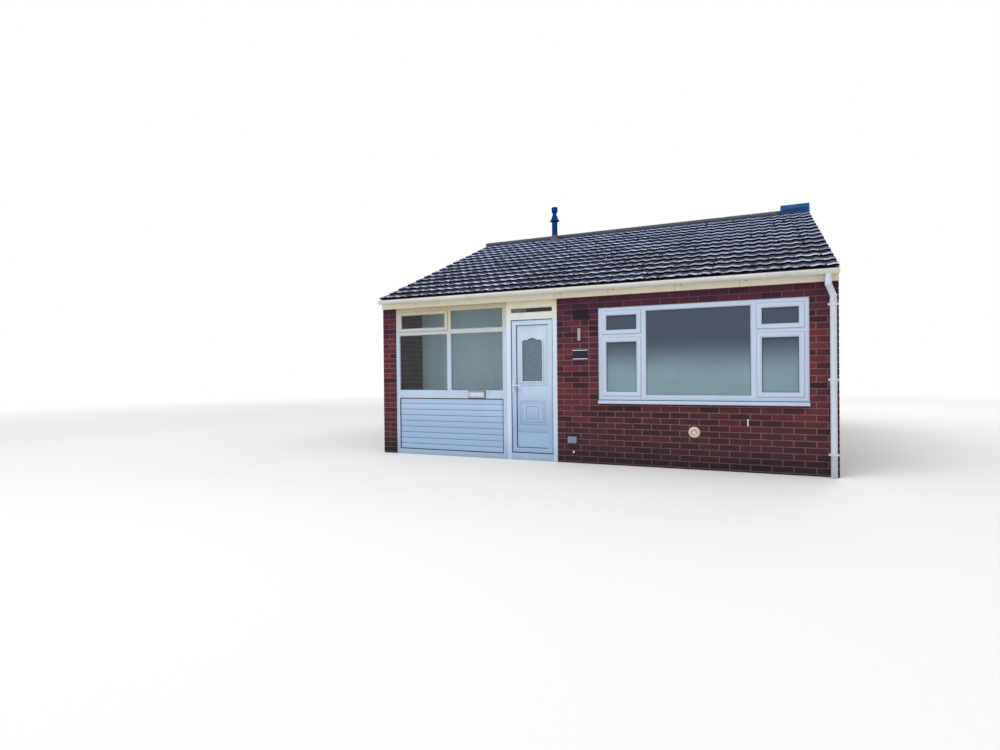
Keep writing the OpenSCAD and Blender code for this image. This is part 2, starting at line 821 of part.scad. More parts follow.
module door_threshold() {
  color("#b9bec2") {
    block(day_x0, day_x1, door_y0, door_y1, 0, threshold_top);
    block(day_x0, day_x1, door_y0, door_y0 + stop_t, threshold_top, threshold_h - 3);
  }
}

// Three butt hinges: the lower knuckle and the pin belong to the frame, the upper knuckle to the leaf
module hinge_pin_side(z) {
  translate([hinge_x, hinge_y, z]) {
    cylinder(r = hinge_r, h = hinge_len / 2 - FIT);
    cylinder(r = hinge_pin_r, h = hinge_len - 4);
  }
  block(hinge_x, leaf_x1 + 40, door_y1, door_y1 + 4, z, z + hinge_len / 2 - FIT);
  block(hinge_x, hinge_x + 5, door_y1, hinge_y, z, z + hinge_len / 2 - FIT);
}

module hinge_leaf_side(z) {
  translate([hinge_x, hinge_y, z]) cylinder(r = hinge_r, h = hinge_len / 2);
  block(hinge_x - 45, hinge_x - 5, leaf_y1, leaf_y1 + 4, z, z + hinge_len / 2);
  block(hinge_x - 9, hinge_x - 4, leaf_y1, hinge_y, z, z + hinge_len / 2);
}

module door_hinges() {
  color("#c9ccce") for (z = hinge_zs) hinge_pin_side(z);
}

// The glazed light: three lobes over a straight-sided opening, grown by g all round
lobe_r = 92;
ear_r = 54;
ear_in = 46;

module light_outline(g) {
  half = light_w / 2 + g;
  translate([-half, light_z - g]) square([2 * half, light_shoulder_z - light_z + g]);
  intersection() {
    union() {
      translate([0, light_shoulder_z + light_rise - lobe_r]) circle(r = lobe_r + g);
      for (s = [-1, 1]) translate([s * (light_w / 2 - ear_in), light_shoulder_z - 34]) circle(r = ear_r + g);
    }
    translate([-half, light_shoulder_z - ear_r]) square([2 * half, 3 * lobe_r]);
  }
}

module light_cut(g, y0, y1) {
  translate([light_x, y1, 0]) rotate([90, 0, 0]) linear_extrude(y1 - y0) light_outline(g);
}

sunk_w = 375;
sunk_z0 = 488;
sunk_z1 = 833;
inner_w = 190;
inner_in = 77;
ring_w = 12;
groove_zs = [1040, 390];
surround_w = 22;
spindle_r = 6;
rose_r = 12;

// A sunk ring in the door's face
module field_ring(face_y, w, z0, z1, deep) {
  difference() {
    block(light_x - w / 2, light_x + w / 2, face_y - 1, face_y + deep, z0, z1);
    block(light_x - w / 2 + ring_w, light_x + w / 2 - ring_w, face_y - 2, face_y + deep + 1,
      z0 + ring_w, z1 - ring_w);
  }
}

module front_door() {
  face_y = leaf_y0 + panel_in;
  color(PLASTIC) {
    difference() {
      block(leaf_x0, leaf_x1, leaf_y0, leaf_y1, leaf_z0, leaf_z1);
      difference() {
        block(panel_x0, panel_x1, leaf_y0 - 1, face_y, panel_z0, panel_z1);
        light_cut(surround_w, face_y - 8, face_y + 1);
      }
      light_cut(0, leaf_y0 - 1, leaf_y1 + 1);
      for (z = groove_zs) block(panel_x0, panel_x1, face_y - 1, face_y + 4, z - 3, z + 3);
      field_ring(face_y, sunk_w, sunk_z0, sunk_z1, 5);
      field_ring(face_y, sunk_w - 60, sunk_z0 + 30, sunk_z1 - 30, 4);
      field_ring(face_y, inner_w, sunk_z0 + inner_in, sunk_z1 - inner_in, 4);
      turned_y(lever_x, leaf_y0 - 1, lever_z, spindle_r + 2, leaf_t + 2);
    }
    difference() {
      for (z = hinge_zs) hinge_leaf_side(z + hinge_len / 2);
      for (z = hinge_zs) translate([hinge_x, hinge_y, z]) cylinder(r = hinge_pin_r + PIN_FIT, h = hinge_len - 3);
    }
  }
}

module front_door_glass() {
  color(GLASS) light_cut(-FIT, (leaf_y0 + leaf_y1 - glass_t) / 2, (leaf_y0 + leaf_y1 + glass_t) / 2);
}

plate_r = 16;
plate_low = 95;
plate_up = 65;
lock_r = 9;
lever_d = 18;

module plate_shape() {
  difference() {
    union() {
      translate([0, -plate_low]) circle(r = plate_r);
      translate([0, plate_up]) circle(r = plate_r);
      translate([-plate_r, -plate_low]) square([2 * plate_r, plate_low + plate_up]);
    }
    circle(r = rose_r + PIN_FIT);
  }
}

module handle_plates() {
  color("#eceeef") for (y = [leaf_y0, leaf_y1 + plate_t])
    translate([lever_x, y, lever_z]) rotate([90, 0, 0]) linear_extrude(plate_t) plate_shape();
  color("#c9a94f") for (y = [leaf_y0 - plate_t - 3, leaf_y1 + plate_t])
    turned_y(lever_x, y, lever_z - plate_low + 3, lock_r, 3);
}

module lever_side() {
  turned_y(0, -lever_out, 0, rose_r, lever_out);
  turned_y(lever_len, -lever_out, 0, lever_d / 2, lever_d);
  translate([0, -lever_out, -lever_d / 2]) cube([lever_len, lever_d, lever_d]);
}

module lever_handle() {
  color("#eceeef") {
    translate([lever_x, leaf_y0, lever_z]) lever_side();
    translate([lever_x, leaf_y1, lever_z]) mirror([0, 1, 0]) lever_side();
    turned_y(lever_x, leaf_y0, lever_z, spindle_r, leaf_t);
  }
}

// Small fittings on the brick panel

// The brickwork between the porch and the window carries most of the small fittings
pillar_w = window_x0 - porch_x1;
pillar_x = porch_x1 + pillar_w / 2;
air_x = porch_x1 + 0.59 * pillar_w;
air_z = base_joint_z + 26 * course_h;

air_w = 215;
air_h = 2 * course_h - 10;
air_t = 6;
air_pitch = 32;

module air_brick() {
  difference() {
    block(air_x - air_w / 2, air_x + air_w / 2, yf - air_t - FIT, yf - FIT, air_z - air_h / 2, air_z + air_h / 2);
    for (i = [-2.5 : 1 : 2.5]) for (k = [-0.5, 0.5])
      translate([air_x + i * air_pitch, yf, air_z + k * 56]) cube([18, 4 * air_t, 40], center = true);
  }
}

bell_w = 40;
bell_h = 166;
bell_out = 24;
bell_z = 1733;
bell_shift = 30;
plaque_w = 206;
plaque_h = 126;
plaque_t = 8;
plaque_z = 1464;
plaque_shift = 40;
box_w = 122;
box_h = 88;
box_out = 60;
box_z = 313;
box_shift = 69;
clip_w = 14;
clip_h = 85;
clip_out = 12;
clip_z = 600;
clip_inset = 648;
vent_shift = 31;
vent_x = window_x0 + window_w / 2 - vent_shift;
vent_z = 464;
vent_r = 68;
vent_rim = 12;
vent_step = 16;
vent_out = 38;

module on_wall(x, z, w, h, out) {
  block(x - w / 2, x + w / 2, yf - FIT - out, yf - FIT, z - h / 2, z + h / 2);
}

module wall_fittings() {
  color("#3d3330") air_brick();
  color(PLASTIC) on_wall(pillar_x + bell_shift, bell_z, bell_w, bell_h, bell_out);
  color("#2c2f3a") on_wall(pillar_x + plaque_shift, plaque_z, plaque_w, plaque_h, plaque_t);
  color("#8d9296") on_wall(pillar_x - box_shift, box_z, box_w, box_h, box_out);
  color(PLASTIC) on_wall(window_x0 + window_w - clip_inset, clip_z, clip_w, clip_h, clip_out);
  color(CREAM) translate([0, -FIT, 0]) difference() {
    union() {
      turned_y(vent_x, yf - vent_rim, vent_z, vent_r, vent_rim);
      turned_y(vent_x, yf - vent_out, vent_z, vent_r - vent_step, vent_out);
    }
    turned_y(vent_x, yf - vent_out - 1, vent_z, vent_r - 1.5 * vent_step, vent_out - vent_rim);
  }
}

floor_slab();
left_party_wall();
right_party_wall();
front_wall();
rear_wall();
porch_back_wall();
ceiling();
porch_head();
front_roof_boards();
rear_roof_boards();
front_roof_tiles();
rear_roof_tiles();
ridge_bed();
ridge_tiles();
ridge_vent();
flue_flashing();
flue_terminal();
front_fascia();
rear_fascia();
front_gutter();
rear_gutter();
front_downpipe();
rear_downpipe();
screen_frame();
screen_fanlight();
screen_glass();
screen_panel();
letter_plate();
letter_flap();
door_frame();
door_threshold();
door_hinges();
front_door();
front_door_glass();
handle_plates();
lever_handle();
front_window_frame();
front_window_sashes();
front_window_glass();
front_window_sill();
rear_window_frames();
rear_window_sashes();
rear_window_glass();
rear_window_sills();
wall_fittings();
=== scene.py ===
"""Looks of a single-storey terraced bungalow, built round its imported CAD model.

Everything is in metres in the model's own frame: X along the front, Y into the house, Z up from the ground.
"""

import math
import random

import bmesh
import bpy
from bpy.props import FloatProperty, FloatVectorProperty, IntProperty, PointerProperty
from mathutils import Matrix, Vector, noise


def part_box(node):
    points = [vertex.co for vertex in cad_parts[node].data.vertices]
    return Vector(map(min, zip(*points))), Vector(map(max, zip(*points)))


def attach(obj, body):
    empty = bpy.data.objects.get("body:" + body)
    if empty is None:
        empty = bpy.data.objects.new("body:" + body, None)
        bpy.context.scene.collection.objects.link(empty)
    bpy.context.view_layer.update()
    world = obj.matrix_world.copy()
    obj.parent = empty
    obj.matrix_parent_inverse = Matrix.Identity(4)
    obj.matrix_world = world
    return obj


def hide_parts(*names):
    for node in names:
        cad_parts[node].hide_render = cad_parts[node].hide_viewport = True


bl_info = {
    "name": "Terraced bungalow dressing",
    "version": (1, 0, 0),
    "blender": (4, 5, 0),
    "location": "View3D > Sidebar > Bungalow",
    "description": "Brickwork, roof tiles, joinery, glazing and fittings of a small bungalow",
    "category": "Object",
}

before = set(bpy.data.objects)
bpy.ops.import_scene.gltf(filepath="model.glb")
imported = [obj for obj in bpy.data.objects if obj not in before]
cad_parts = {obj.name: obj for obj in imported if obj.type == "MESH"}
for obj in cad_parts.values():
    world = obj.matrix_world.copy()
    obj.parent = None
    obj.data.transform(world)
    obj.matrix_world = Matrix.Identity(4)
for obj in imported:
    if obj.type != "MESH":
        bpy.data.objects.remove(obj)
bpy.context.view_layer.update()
HOUSE, DOOR, LEVER, FLAP = "house", "front_door", "lever_handle", "letter_flap"
MATERIALS = {}
TOUCH = 1e-6  # places closer than this are one


def tone(red, green, blue):
    """A colour given in screen values from 0 to 255, as the linear values that a shader takes."""
    return tuple(c / 12.92 if c <= 0.04045 else ((c + 0.055) / 1.055) ** 2.4
                 for c in (v / 255 for v in (red, green, blue)))


def length(title, text, value):
    return FloatProperty(name=title, description=text, default=value, min=0.0, unit="LENGTH")


def colour(title, text, rgb):
    return FloatVectorProperty(name=title, description=text, default=tone(*rgb), size=3, min=0.0, max=1.0,
                               subtype="COLOR")


# Sizes and colours that a user would change


class BrickSettings(bpy.types.PropertyGroup):
    pitch: length("Brick pitch", "Length of a brick with its joint", 0.2286)
    course: length("Course height", "Height of a brick with its bed joint", 0.0762)
    first_joint: length("First bed joint", "Height of the first bed joint above the ground", 0.020)
    joint: length("Joint", "Width of the mortar joints", 0.010)
    recess: length("Joint recess", "How far the mortar stands behind the brick faces", 0.004)
    phase: length("Bond phase", "X of a vertical joint in the even courses", 0.078)
    arris: length("Arris", "Rounding of the bricks' edges", 0.0022)
    brick: colour("Brick", "Main colour of the facing bricks", (83, 44, 57))
    dark_brick: colour("Dark brick", "Colour of the darkest bricks", (50, 33, 46))
    warm_brick: colour("Warm brick", "Colour of the brightest bricks", (110, 52, 58))
    mortar: colour("Mortar", "Colour of the joints", (137, 105, 107))


class RoofSettings(bpy.types.PropertyGroup):
    courses: IntProperty(name="Courses", description="Tile courses on one slope", default=15, min=1)
    across: IntProperty(name="Tiles across", description="Tiles in one course", default=20, min=1)
    lap: length("Head lap", "How far a tile runs up under the next course", 0.070)
    nose: length("Nose height", "Height of a course's front edge above the boards", 0.0600)
    heel: length("Heel height", "Height of a course's upper end above the boards", 0.0345)
    roll: length("Roll depth", "Depth of the pans below the rolls", 0.010)
    nose_face: length("Nose face", "Height of a tile's dark front face", 0.020)
    moss_count: IntProperty(name="Moss", description="Cushions of moss on one slope", default=420, min=0)
    tile: colour("Tile", "Colour of the weathered tile faces", (186, 195, 226))
    # Painted shade: the tile noses' faces and the gaps under them take this dark colour in place of their
    # shadow.
    shade: colour("Tile edge", "Colour of the damp noses and gaps", (10, 12, 27))
    ridge: colour("Ridge tile", "Colour of the ridge tiles", (66, 72, 90))
    moss: colour("Moss stain", "Colour of the stains on the tiles", (66, 62, 50))


class JoinerySettings(bpy.types.PropertyGroup):
    bar: length("Frame bar", "Width of a window frame's outer bars", 0.060)
    mullion: length("Mullion", "Width of mullions and transoms between sashes", 0.066)
    stile: length("Stile", "Width of a sash stile", 0.045)
    side: length("Side light", "Clear width of a side column", 0.480)
    fan: length("Fanlight", "Clear height of a fanlight's opening", 0.286)
    screen_bar: length("Screen bar", "Width of the porch screen's bars", 0.058)
    screen_stile: length("Screen stile", "Width of the stiles of the porch fanlight", 0.040)
    # Painted shade: the bluish grey of this white plastic stands for sky-lit shade on white.
    white: colour("White plastic", "Colour of the window frames", (184, 199, 221))
    cream: colour("Cream paint", "Colour of the fascia and the top of the porch frame", (228, 219, 197))
    # Painted shade: this blue is the white plastic's sky-lit shade, deepest near the ground.
    panel: colour("Boarded panel", "Colour of the boarded panel and the foot of the door", (144, 171, 206))


class GlassSettings(bpy.types.PropertyGroup):
    gasket: length("Gasket", "Visible width of the rubber gaskets", 0.006)
    dark: colour("Window glass", "Tint of the dark window glass", (76, 88, 110))
    clear: colour("Porch glass", "Tint of the porch glass", (250, 253, 255))
    obscured: colour("Door glass", "Tint of the obscured glass in the door", (132, 154, 172))


class StudioSettings(bpy.types.PropertyGroup):
    lens: FloatProperty(name="Lens", description="Focal length of the camera", default=22.174, unit="CAMERA")
    place: FloatVectorProperty(name="Camera place", description="Where the camera stands", size=3,
                               default=(2.2022, -12.4747, 1.2305), subtype="TRANSLATION", unit="LENGTH")
    turn: FloatVectorProperty(name="Camera turn", description="Yaw to the left, pitch and roll", size=3,
                              default=(0.459346, -0.0065448, -0.0101326), subtype="EULER", unit="ROTATION")
    shift: FloatVectorProperty(name="Camera shift", description="Shift of the picture, in widths", size=2,
                               default=(0.04845, 0.00226))
    floor_r: length("Floor radius", "Radius of the round studio floor", 60.0)
    lamp: length("Lamp size", "Diameter of the two soft lamps", 9.0)
    daylight: FloatProperty(name="Daylight", description="Strength of the white surroundings", default=0.81)
    key: FloatProperty(name="Key light", description="Power of the front lamp", default=1320.0, unit="POWER")


SETTINGS = {"brickwork": BrickSettings, "roofing": RoofSettings, "joinery": JoinerySettings,
            "glazing": GlassSettings, "studio": StudioSettings}


# Mesh helpers; a rectangle in the plane of the front is (x0, x1, z0, z1)


def verts_in(geom):
    return [g for g in geom if isinstance(g, bmesh.types.BMVert)]


def edges_in(geom):
    return [g for g in geom if isinstance(g, bmesh.types.BMEdge)]


def whole(bm):
    return bm.verts[:] + bm.edges[:] + bm.faces[:]


def faces_of(verts):
    return list({f for v in verts for f in v.link_faces})


def edges_of(verts):
    inside = set(verts)
    return [e for e in {e for v in verts for e in v.link_edges} if all(v in inside for v in e.verts)]


def outline(corners):
    """The rectangle that a box shows to the front."""
    return corners[0].x, corners[1].x, corners[0].z, corners[1].z


def grown(rect, by):
    x0, x1, z0, z1 = rect
    return x0 - by, x1 + by, z0 - by, z1 + by


def within(x, z, rect):
    return rect[0] < x < rect[1] and rect[2] < z < rect[3]


def move(bm, matrix):
    bmesh.ops.transform(bm, matrix=matrix, verts=bm.verts)


def to_rear(bm):
    """Turns work drawn on the front face over to the rear face."""
    move(bm, Matrix.Diagonal((1.0, -1.0, 1.0, 1.0)))
    bmesh.ops.reverse_faces(bm, faces=bm.faces)


def box(bm, low, high):
    """A block between two corners; returns its points."""
    low, high = Vector(low), Vector(high)
    place = Matrix.Translation((low + high) / 2) @ Matrix.Diagonal((*(high - low), 1.0))
    return bmesh.ops.create_cube(bm, size=1.0, matrix=place)["verts"]


def round_edges(bm, edges, offset, segments=2):
    bmesh.ops.bevel(bm, geom=edges, offset=offset, offset_type="OFFSET", segments=segments, profile=0.5,
                    affect="EDGES", clamp_overlap=True, material=-1)


def merge_into(bm, part, matrix=None):
    """Appends the mesh of part, freed here, to bm."""
    if matrix is not None:
        move(part, matrix)
    mesh = bpy.data.meshes.new("part")
    part.to_mesh(mesh)
    part.free()
    bm.from_mesh(mesh)
    bpy.data.meshes.remove(mesh)


def soft_box(bm, low, high, bevel, segments=2):
    """A block with rounded edges, put into bm whole."""
    part = bmesh.new()
    round_edges(part, edges_of(box(part, low, high)), bevel, segments)
    merge_into(bm, part)


def upright_face(bm, rect, y):
    """One rectangular face in a plane parallel to the front."""
    x0, x1, z0, z1 = rect
    place = (Matrix.Translation(((x0 + x1) / 2, y, (z0 + z1) / 2)) @ Matrix.Rotation(math.pi / 2, 4, "X")
             @ Matrix.Diagonal((x1 - x0, z1 - z0, 1.0, 1.0)))
    return faces_of(bmesh.ops.create_grid(bm, x_segments=1, y_segments=1, size=0.5, matrix=place)["verts"])[0]


def thicken(bm, faces, vector):
    made = bmesh.ops.extrude_face_region(bm, geom=faces)["geom"]
    bmesh.ops.translate(bm, verts=verts_in(made), vec=vector)


def ring(bm, rect, width, y0, y1, bevel=0.0):
    """A rectangular frame inside its outer edges, its front at y0 and its back at y1."""
    part = bmesh.new()
    middle = upright_face(part, rect, y0)
    rim = bmesh.ops.inset_region(part, faces=[middle], thickness=width, use_even_offset=True,
                                 use_boundary=True)["faces"]
    bmesh.ops.delete(part, geom=[middle], context="FACES")
    thicken(part, rim, (0, y1 - y0, 0))
    if bevel:
        front = [e for e in part.edges
                 if all(abs(v.co.y - y0) < TOUCH for v in e.verts) and e.calc_face_angle(0) > 1]
        round_edges(part, front, bevel)
    bmesh.ops.recalc_face_normals(part, faces=part.faces)
    merge_into(bm, part)


def holed_panel(rect, holes, y0, y1):
    """A plate in the plane of the front with rectangular holes cut through it."""
    bm = bmesh.new()
    upright_face(bm, rect, y0)
    for x0, x1, z0, z1 in holes:
        for at, axis in (((x0, 0, 0), (1, 0, 0)), ((x1, 0, 0), (1, 0, 0)), ((0, 0, z0), (0, 0, 1)),
                         ((0, 0, z1), (0, 0, 1))):
            bmesh.ops.bisect_plane(bm, geom=whole(bm), plane_co=at, plane_no=axis)
    gone = [f for f in bm.faces
            if any(within(f.calc_center_median().x, f.calc_center_median().z, hole) for hole in holes)]
    bmesh.ops.delete(bm, geom=gone, context="FACES")
    thicken(bm, bm.faces[:], (0, y1 - y0, 0))
    return bm


def cut(bm, at, normal):
    """Takes off what lies beyond a plane and closes the cut."""
    made = bmesh.ops.bisect_plane(bm, geom=whole(bm), plane_co=at, plane_no=normal, clear_outer=True)
    bmesh.ops.edgeloop_fill(bm, edges=edges_in(made["geom_cut"]))


def lathe(bm, profile, steps, closed=True):
    """Turns a profile of (radius, height) round the Z axis."""
    chain = [bm.verts.new((r, 0, h)) for r, h in profile]
    ends = chain[1:] + (chain[:1] if closed else [])
    edges = [bm.edges.new(pair) for pair in zip(chain, ends)]
    bmesh.ops.spin(bm, geom=chain + edges, cent=(0, 0, 0), axis=(0, 0, 1), angle=2 * math.pi, steps=steps,
                   use_merge=True)
    bmesh.ops.remove_doubles(bm, verts=bm.verts, dist=1e-5)


def piece(name, bm, materials, slot, body=HOUSE, replaced=(), smooth=None, normals=True):
    """Makes the object of a finished bmesh, with one finish or several, and lets it ride on a body."""
    if normals:
        bmesh.ops.recalc_face_normals(bm, faces=bm.faces)
    mesh = bpy.data.meshes.new(name)
    bm.to_mesh(mesh)
    bm.free()
    for key in [materials] if isinstance(materials, str) else materials:
        mesh.materials.append(MATERIALS[key])
    if smooth is not None:
        mesh.shade_smooth()
        mesh.set_sharp_from_angle(angle=math.radians(smooth))
    obj = bpy.data.objects.new(name, mesh)
    bpy.context.scene.collection.objects.link(obj)
    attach(obj, body)
    if replaced:
        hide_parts(*replaced)
    return obj


def both_fronts(slot, *parts, **options):
    """Makes pieces on the front, then the same turned over to the rear, each from (name, bmesh, material)."""
    rear = [(name, bm.copy(), material) for name, bm, material in parts]
    for name, bm, material in parts:
        piece("front_" + name, bm, material, slot, **options)
    for name, bm, material in rear:
        to_rear(bm)
        piece("rear_" + name, bm, material, slot, **options)


def dressed_mesh(node, bevel=0.0, segments=2):
    """A merged copy of a CAD node's mesh with its sharp edges rounded."""
    bm = bmesh.new()
    bm.from_mesh(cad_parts[node].data)
    bmesh.ops.remove_doubles(bm, verts=bm.verts, dist=2e-5)
    bmesh.ops.dissolve_limit(bm, angle_limit=math.radians(0.5), verts=bm.verts, edges=bm.edges)
    if bevel:
        sharp = [e for e in bm.edges if len(e.link_faces) == 2 and e.calc_face_angle(0) > math.radians(40)]
        round_edges(bm, sharp, bevel, segments)
    return bm


def dressed(node, material, slot, bevel, segments=2, body=HOUSE):
    """The piece that takes a CAD node's place: the node itself with rounded edges."""
    return piece(node + "_dressed", dressed_mesh(node, bevel, segments), material, slot, body,
                 replaced=(node,), smooth=38, normals=False)


def finish_node(node, material):
    """Gives a CAD node that stays in view its finish."""
    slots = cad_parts[node].data.materials
    slots.clear()
    slots.append(MATERIALS[material])


def shade_grooves(obj, sunk):
    """Gives the faces of a piece that lie in its grooves the second material."""
    for f in obj.data.polygons:
        f.material_index = 1 if sunk(f) else 0


# Places that the pieces share, read from the model

FRONT, INNER_FRONT = (corner.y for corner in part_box("front_wall"))
LEFT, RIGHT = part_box("left_party_wall")[0].x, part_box("right_party_wall")[1].x
INNER_LEFT, INNER_RIGHT = (corner.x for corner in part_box("ceiling"))
FASCIA_FACE, FASCIA_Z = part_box("front_fascia")[0].yz
FASCIA_TOP = 2.385
PITCH = math.radians(20.2)
PORCH_LEFT, PORCH_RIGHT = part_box("screen_frame")[0].x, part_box("front_wall")[0].x
BACK_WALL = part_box("porch_back_wall")
FRAME_Y, GLASS_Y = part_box("front_window_frame")[0].y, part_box("front_window_glass")[0].y

# The front window, and the wide and the small one at the rear, whose sill lies two courses higher
WINDOW = outline(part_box("front_window_frame"))
REAR_X = [corner.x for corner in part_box("rear_window_frames")]
WIDE = (REAR_X[0], REAR_X[0] + WINDOW[1] - WINDOW[0], *WINDOW[2:])
SMALL = (REAR_X[1] - 1.219, REAR_X[1], WINDOW[2] + 2 * 0.0762, WINDOW[3])
SILL_H = WINDOW[2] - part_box("front_window_sill")[0].z
FRONT_HOLES, REAR_HOLES = ([(x0, x1, z0 - SILL_H, z1) for x0, x1, z0, z1 in windows]
                           for windows in ([WINDOW], [WIDE, SMALL]))


def board_z(y):
    """Height of the roof boards' upper face at a place on either slope."""
    return FASCIA_TOP + (-FASCIA_FACE - abs(y)) * math.tan(PITCH)


# Shader helpers


def put(tree, value, socket):
    if isinstance(value, bpy.types.NodeSocket):
        tree.links.new(value, socket)
    elif hasattr(socket, "default_value"):
        if socket.type == "RGBA" and len(value) == 3:
            value = (*value, 1.0)
        socket.default_value = value


def add(tree, kind, props=None, **inputs):
    """A node with its properties and inputs; an input is named by its label, or by i and its index."""
    n = tree.nodes.new("ShaderNode" + kind)
    for key, value in (props or {}).items():
        setattr(n, key, value)
    for key, value in inputs.items():
        index = int(key[1:]) if key[0] == "i" and key[1:].isdigit() else key.replace("_", " ")
        put(tree, value, n.inputs[index])
    return n


def math_node(tree, operation, a, b=0.0, clamp=False):
    return add(tree, "Math", {"operation": operation, "use_clamp": clamp}, i0=a, i1=b).outputs[0]


def mix(tree, factor, a, b):
    return add(tree, "Mix", {"data_type": "RGBA", "blend_type": "MIX"}, i0=factor, i6=a, i7=b).outputs[2]


def part_mix(tree, mask, share, a, b):
    """Mixes b into a where the mask says so, at most by a share."""
    return mix(tree, math_node(tree, "MULTIPLY", mask, share), a, b)


def value_range(tree, value, low, high, to_low=0.0, to_high=1.0):
    return add(tree, "MapRange", {"clamp": True}, Value=value, From_Min=low, From_Max=high, To_Min=to_low,
               To_Max=to_high).outputs[0]


def soft_range(tree, value, low, high):
    """Rises from 0 to 1 between two values, with a soft start and end."""
    return add(tree, "MapRange", {"interpolation_type": "SMOOTHSTEP"}, Value=value, From_Min=low,
               From_Max=high).outputs[0]


def object_place(tree, scale=(1.0, 1.0, 1.0)):
    coords = add(tree, "TexCoord").outputs["Object"]
    return add(tree, "Mapping", Vector=coords, Scale=scale).outputs[0]


def attribute(tree, name):
    return add(tree, "Attribute", {"attribute_name": name}).outputs["Fac"]


def effect(name, sockets, build):
    """A shader node group with number inputs and one mask output."""
    tree = bpy.data.node_groups.new(name, "ShaderNodeTree")
    for label, value in sockets.items():
        socket = tree.interface.new_socket(name=label, in_out="INPUT", socket_type="NodeSocketFloat")
        socket.default_value = value
    tree.interface.new_socket(name="Mask", in_out="OUTPUT", socket_type="NodeSocketFloat")
    inside = tree.nodes.new("NodeGroupInput").outputs
    tree.links.new(build(tree, inside), tree.nodes.new("NodeGroupOutput").inputs["Mask"])
    return tree


def use(tree, name, **inputs):
    """Places a shared effect in a material, with its own values."""
    n = tree.nodes.new("ShaderNodeGroup")
    n.node_tree = bpy.data.node_groups[name]
    for key, value in inputs.items():
        put(tree, value, n.inputs[key])
    return n.outputs["Mask"]


def patches(tree, scale, low, high):
    return use(tree, "patches", Scale=scale, Low=low, High=high)


def rise(tree, start, end):
    return use(tree, "rise", From=start, To=end)


def patchy(scale, low, high):
    """A roughness that wanders between two values."""
    return lambda tree: value_range(tree, patches(tree, scale, 0.3, 0.7), 0.0, 1.0, low, high)


def grainy(scale):
    return lambda tree: use(tree, "grain", Scale=scale)


def build_effects():
    """Patches, runs of dirt, fine grain and fades with height, which most materials share."""
    def blotches(tree, i):
        n = add(tree, "TexNoise", Vector=object_place(tree), Scale=i["Scale"], Detail=4.0, Roughness=0.6)
        return value_range(tree, n.outputs[0], i["Low"], i["High"])

    def runs(tree, i):
        n = add(tree, "TexNoise", Vector=object_place(tree, (1.0, 1.0, 0.06)), Scale=i["Scale"], Detail=5.0,
                Roughness=0.65)
        return value_range(tree, n.outputs[0], i["Low"], i["High"])

    def grain(tree, i):
        fine = add(tree, "TexNoise", Vector=object_place(tree), Scale=i["Scale"], Detail=6.0, Roughness=0.7)
        pits = add(tree, "TexVoronoi", Vector=object_place(tree), Scale=i["Scale"])
        deep = value_range(tree, pits.outputs["Distance"], 0.0, 0.35)
        return math_node(tree, "MULTIPLY", fine.outputs[0], value_range(tree, deep, 0.0, 1.0, 0.6, 1.0))

    def fade(tree, i):
        z = add(tree, "SeparateXYZ", Vector=object_place(tree)).outputs["Z"]
        wander = add(tree, "TexNoise", Vector=object_place(tree), Scale=2.5, Detail=3.0).outputs[0]
        z = math_node(tree, "ADD", z, value_range(tree, wander, 0.0, 1.0, -0.06, 0.06))
        return soft_range(tree, z, i["From"], i["To"])

    effect("patches", {"Scale": 3.0, "Low": 0.35, "High": 0.7}, blotches)
    effect("dirt_runs", {"Scale": 20.0, "Low": 0.45, "High": 0.75}, runs)
    effect("grain", {"Scale": 300.0}, grain)
    effect("rise", {"From": 0.0, "To": 1.0}, fade)


def surface(name, base, rough, height=None, bump=0.0, **fixed):
    """A material with one Principled shader; base and rough are values or functions that build nodes."""
    material = bpy.data.materials.new(name)
    material.use_nodes = True
    tree = material.node_tree
    shader = tree.nodes["Principled BSDF"]
    put(tree, base(tree) if callable(base) else base, shader.inputs["Base Color"])
    put(tree, rough(tree) if callable(rough) else rough, shader.inputs["Roughness"])
    for key, value in fixed.items():
        put(tree, value, shader.inputs[key.replace("_", " ")])
    if height:
        relief = add(tree, "Bump", Strength=1.0, Distance=bump, Height=height(tree)).outputs[0]
        tree.links.new(relief, shader.inputs["Normal"])
    return material


def worn(name, base, dirt, dirt_scale=9.0, dirt_low=0.48, dirt_high=0.8, dirt_most=0.6, patch=1.8, lift=0.12,
         rough=(0.3, 0.45), grain=420.0, bump=0.0002, low_dirt=0.0, top=None, **fixed):
    """A painted, moulded or metal surface: light and dark patches, runs of dirt, and darkening near the ground,
    which is dirt on most finishes and painted bluish shade on the porch and door frames.

    top is a colour that it fades to, and the heights where that starts and ends; on the mortar it paints the
    shade under the eaves, on the porch and door frames warm light with some yellowing, and on the panel less
    painted shade higher up.
    """
    dirt = tone(*dirt)

    def colour_of(tree):
        c = base
        light = tuple(min(1.0, v * (1 + lift)) for v in base)
        if top:
            c = mix(tree, rise(tree, *top[1:]), base, tone(*top[0]))
            light = mix(tree, 0.35, c, light)
        c = part_mix(tree, patches(tree, patch, 0.4, 0.7), 0.5, c, light)
        runs = use(tree, "dirt_runs", Scale=dirt_scale, Low=dirt_low, High=dirt_high)
        c = part_mix(tree, runs, dirt_most, c, dirt)
        return part_mix(tree, rise(tree, 0.45, 0.0), low_dirt, c, dirt) if low_dirt else c

    return surface(name, colour_of, patchy(patch * 6, *rough), grainy(grain), bump, **fixed)
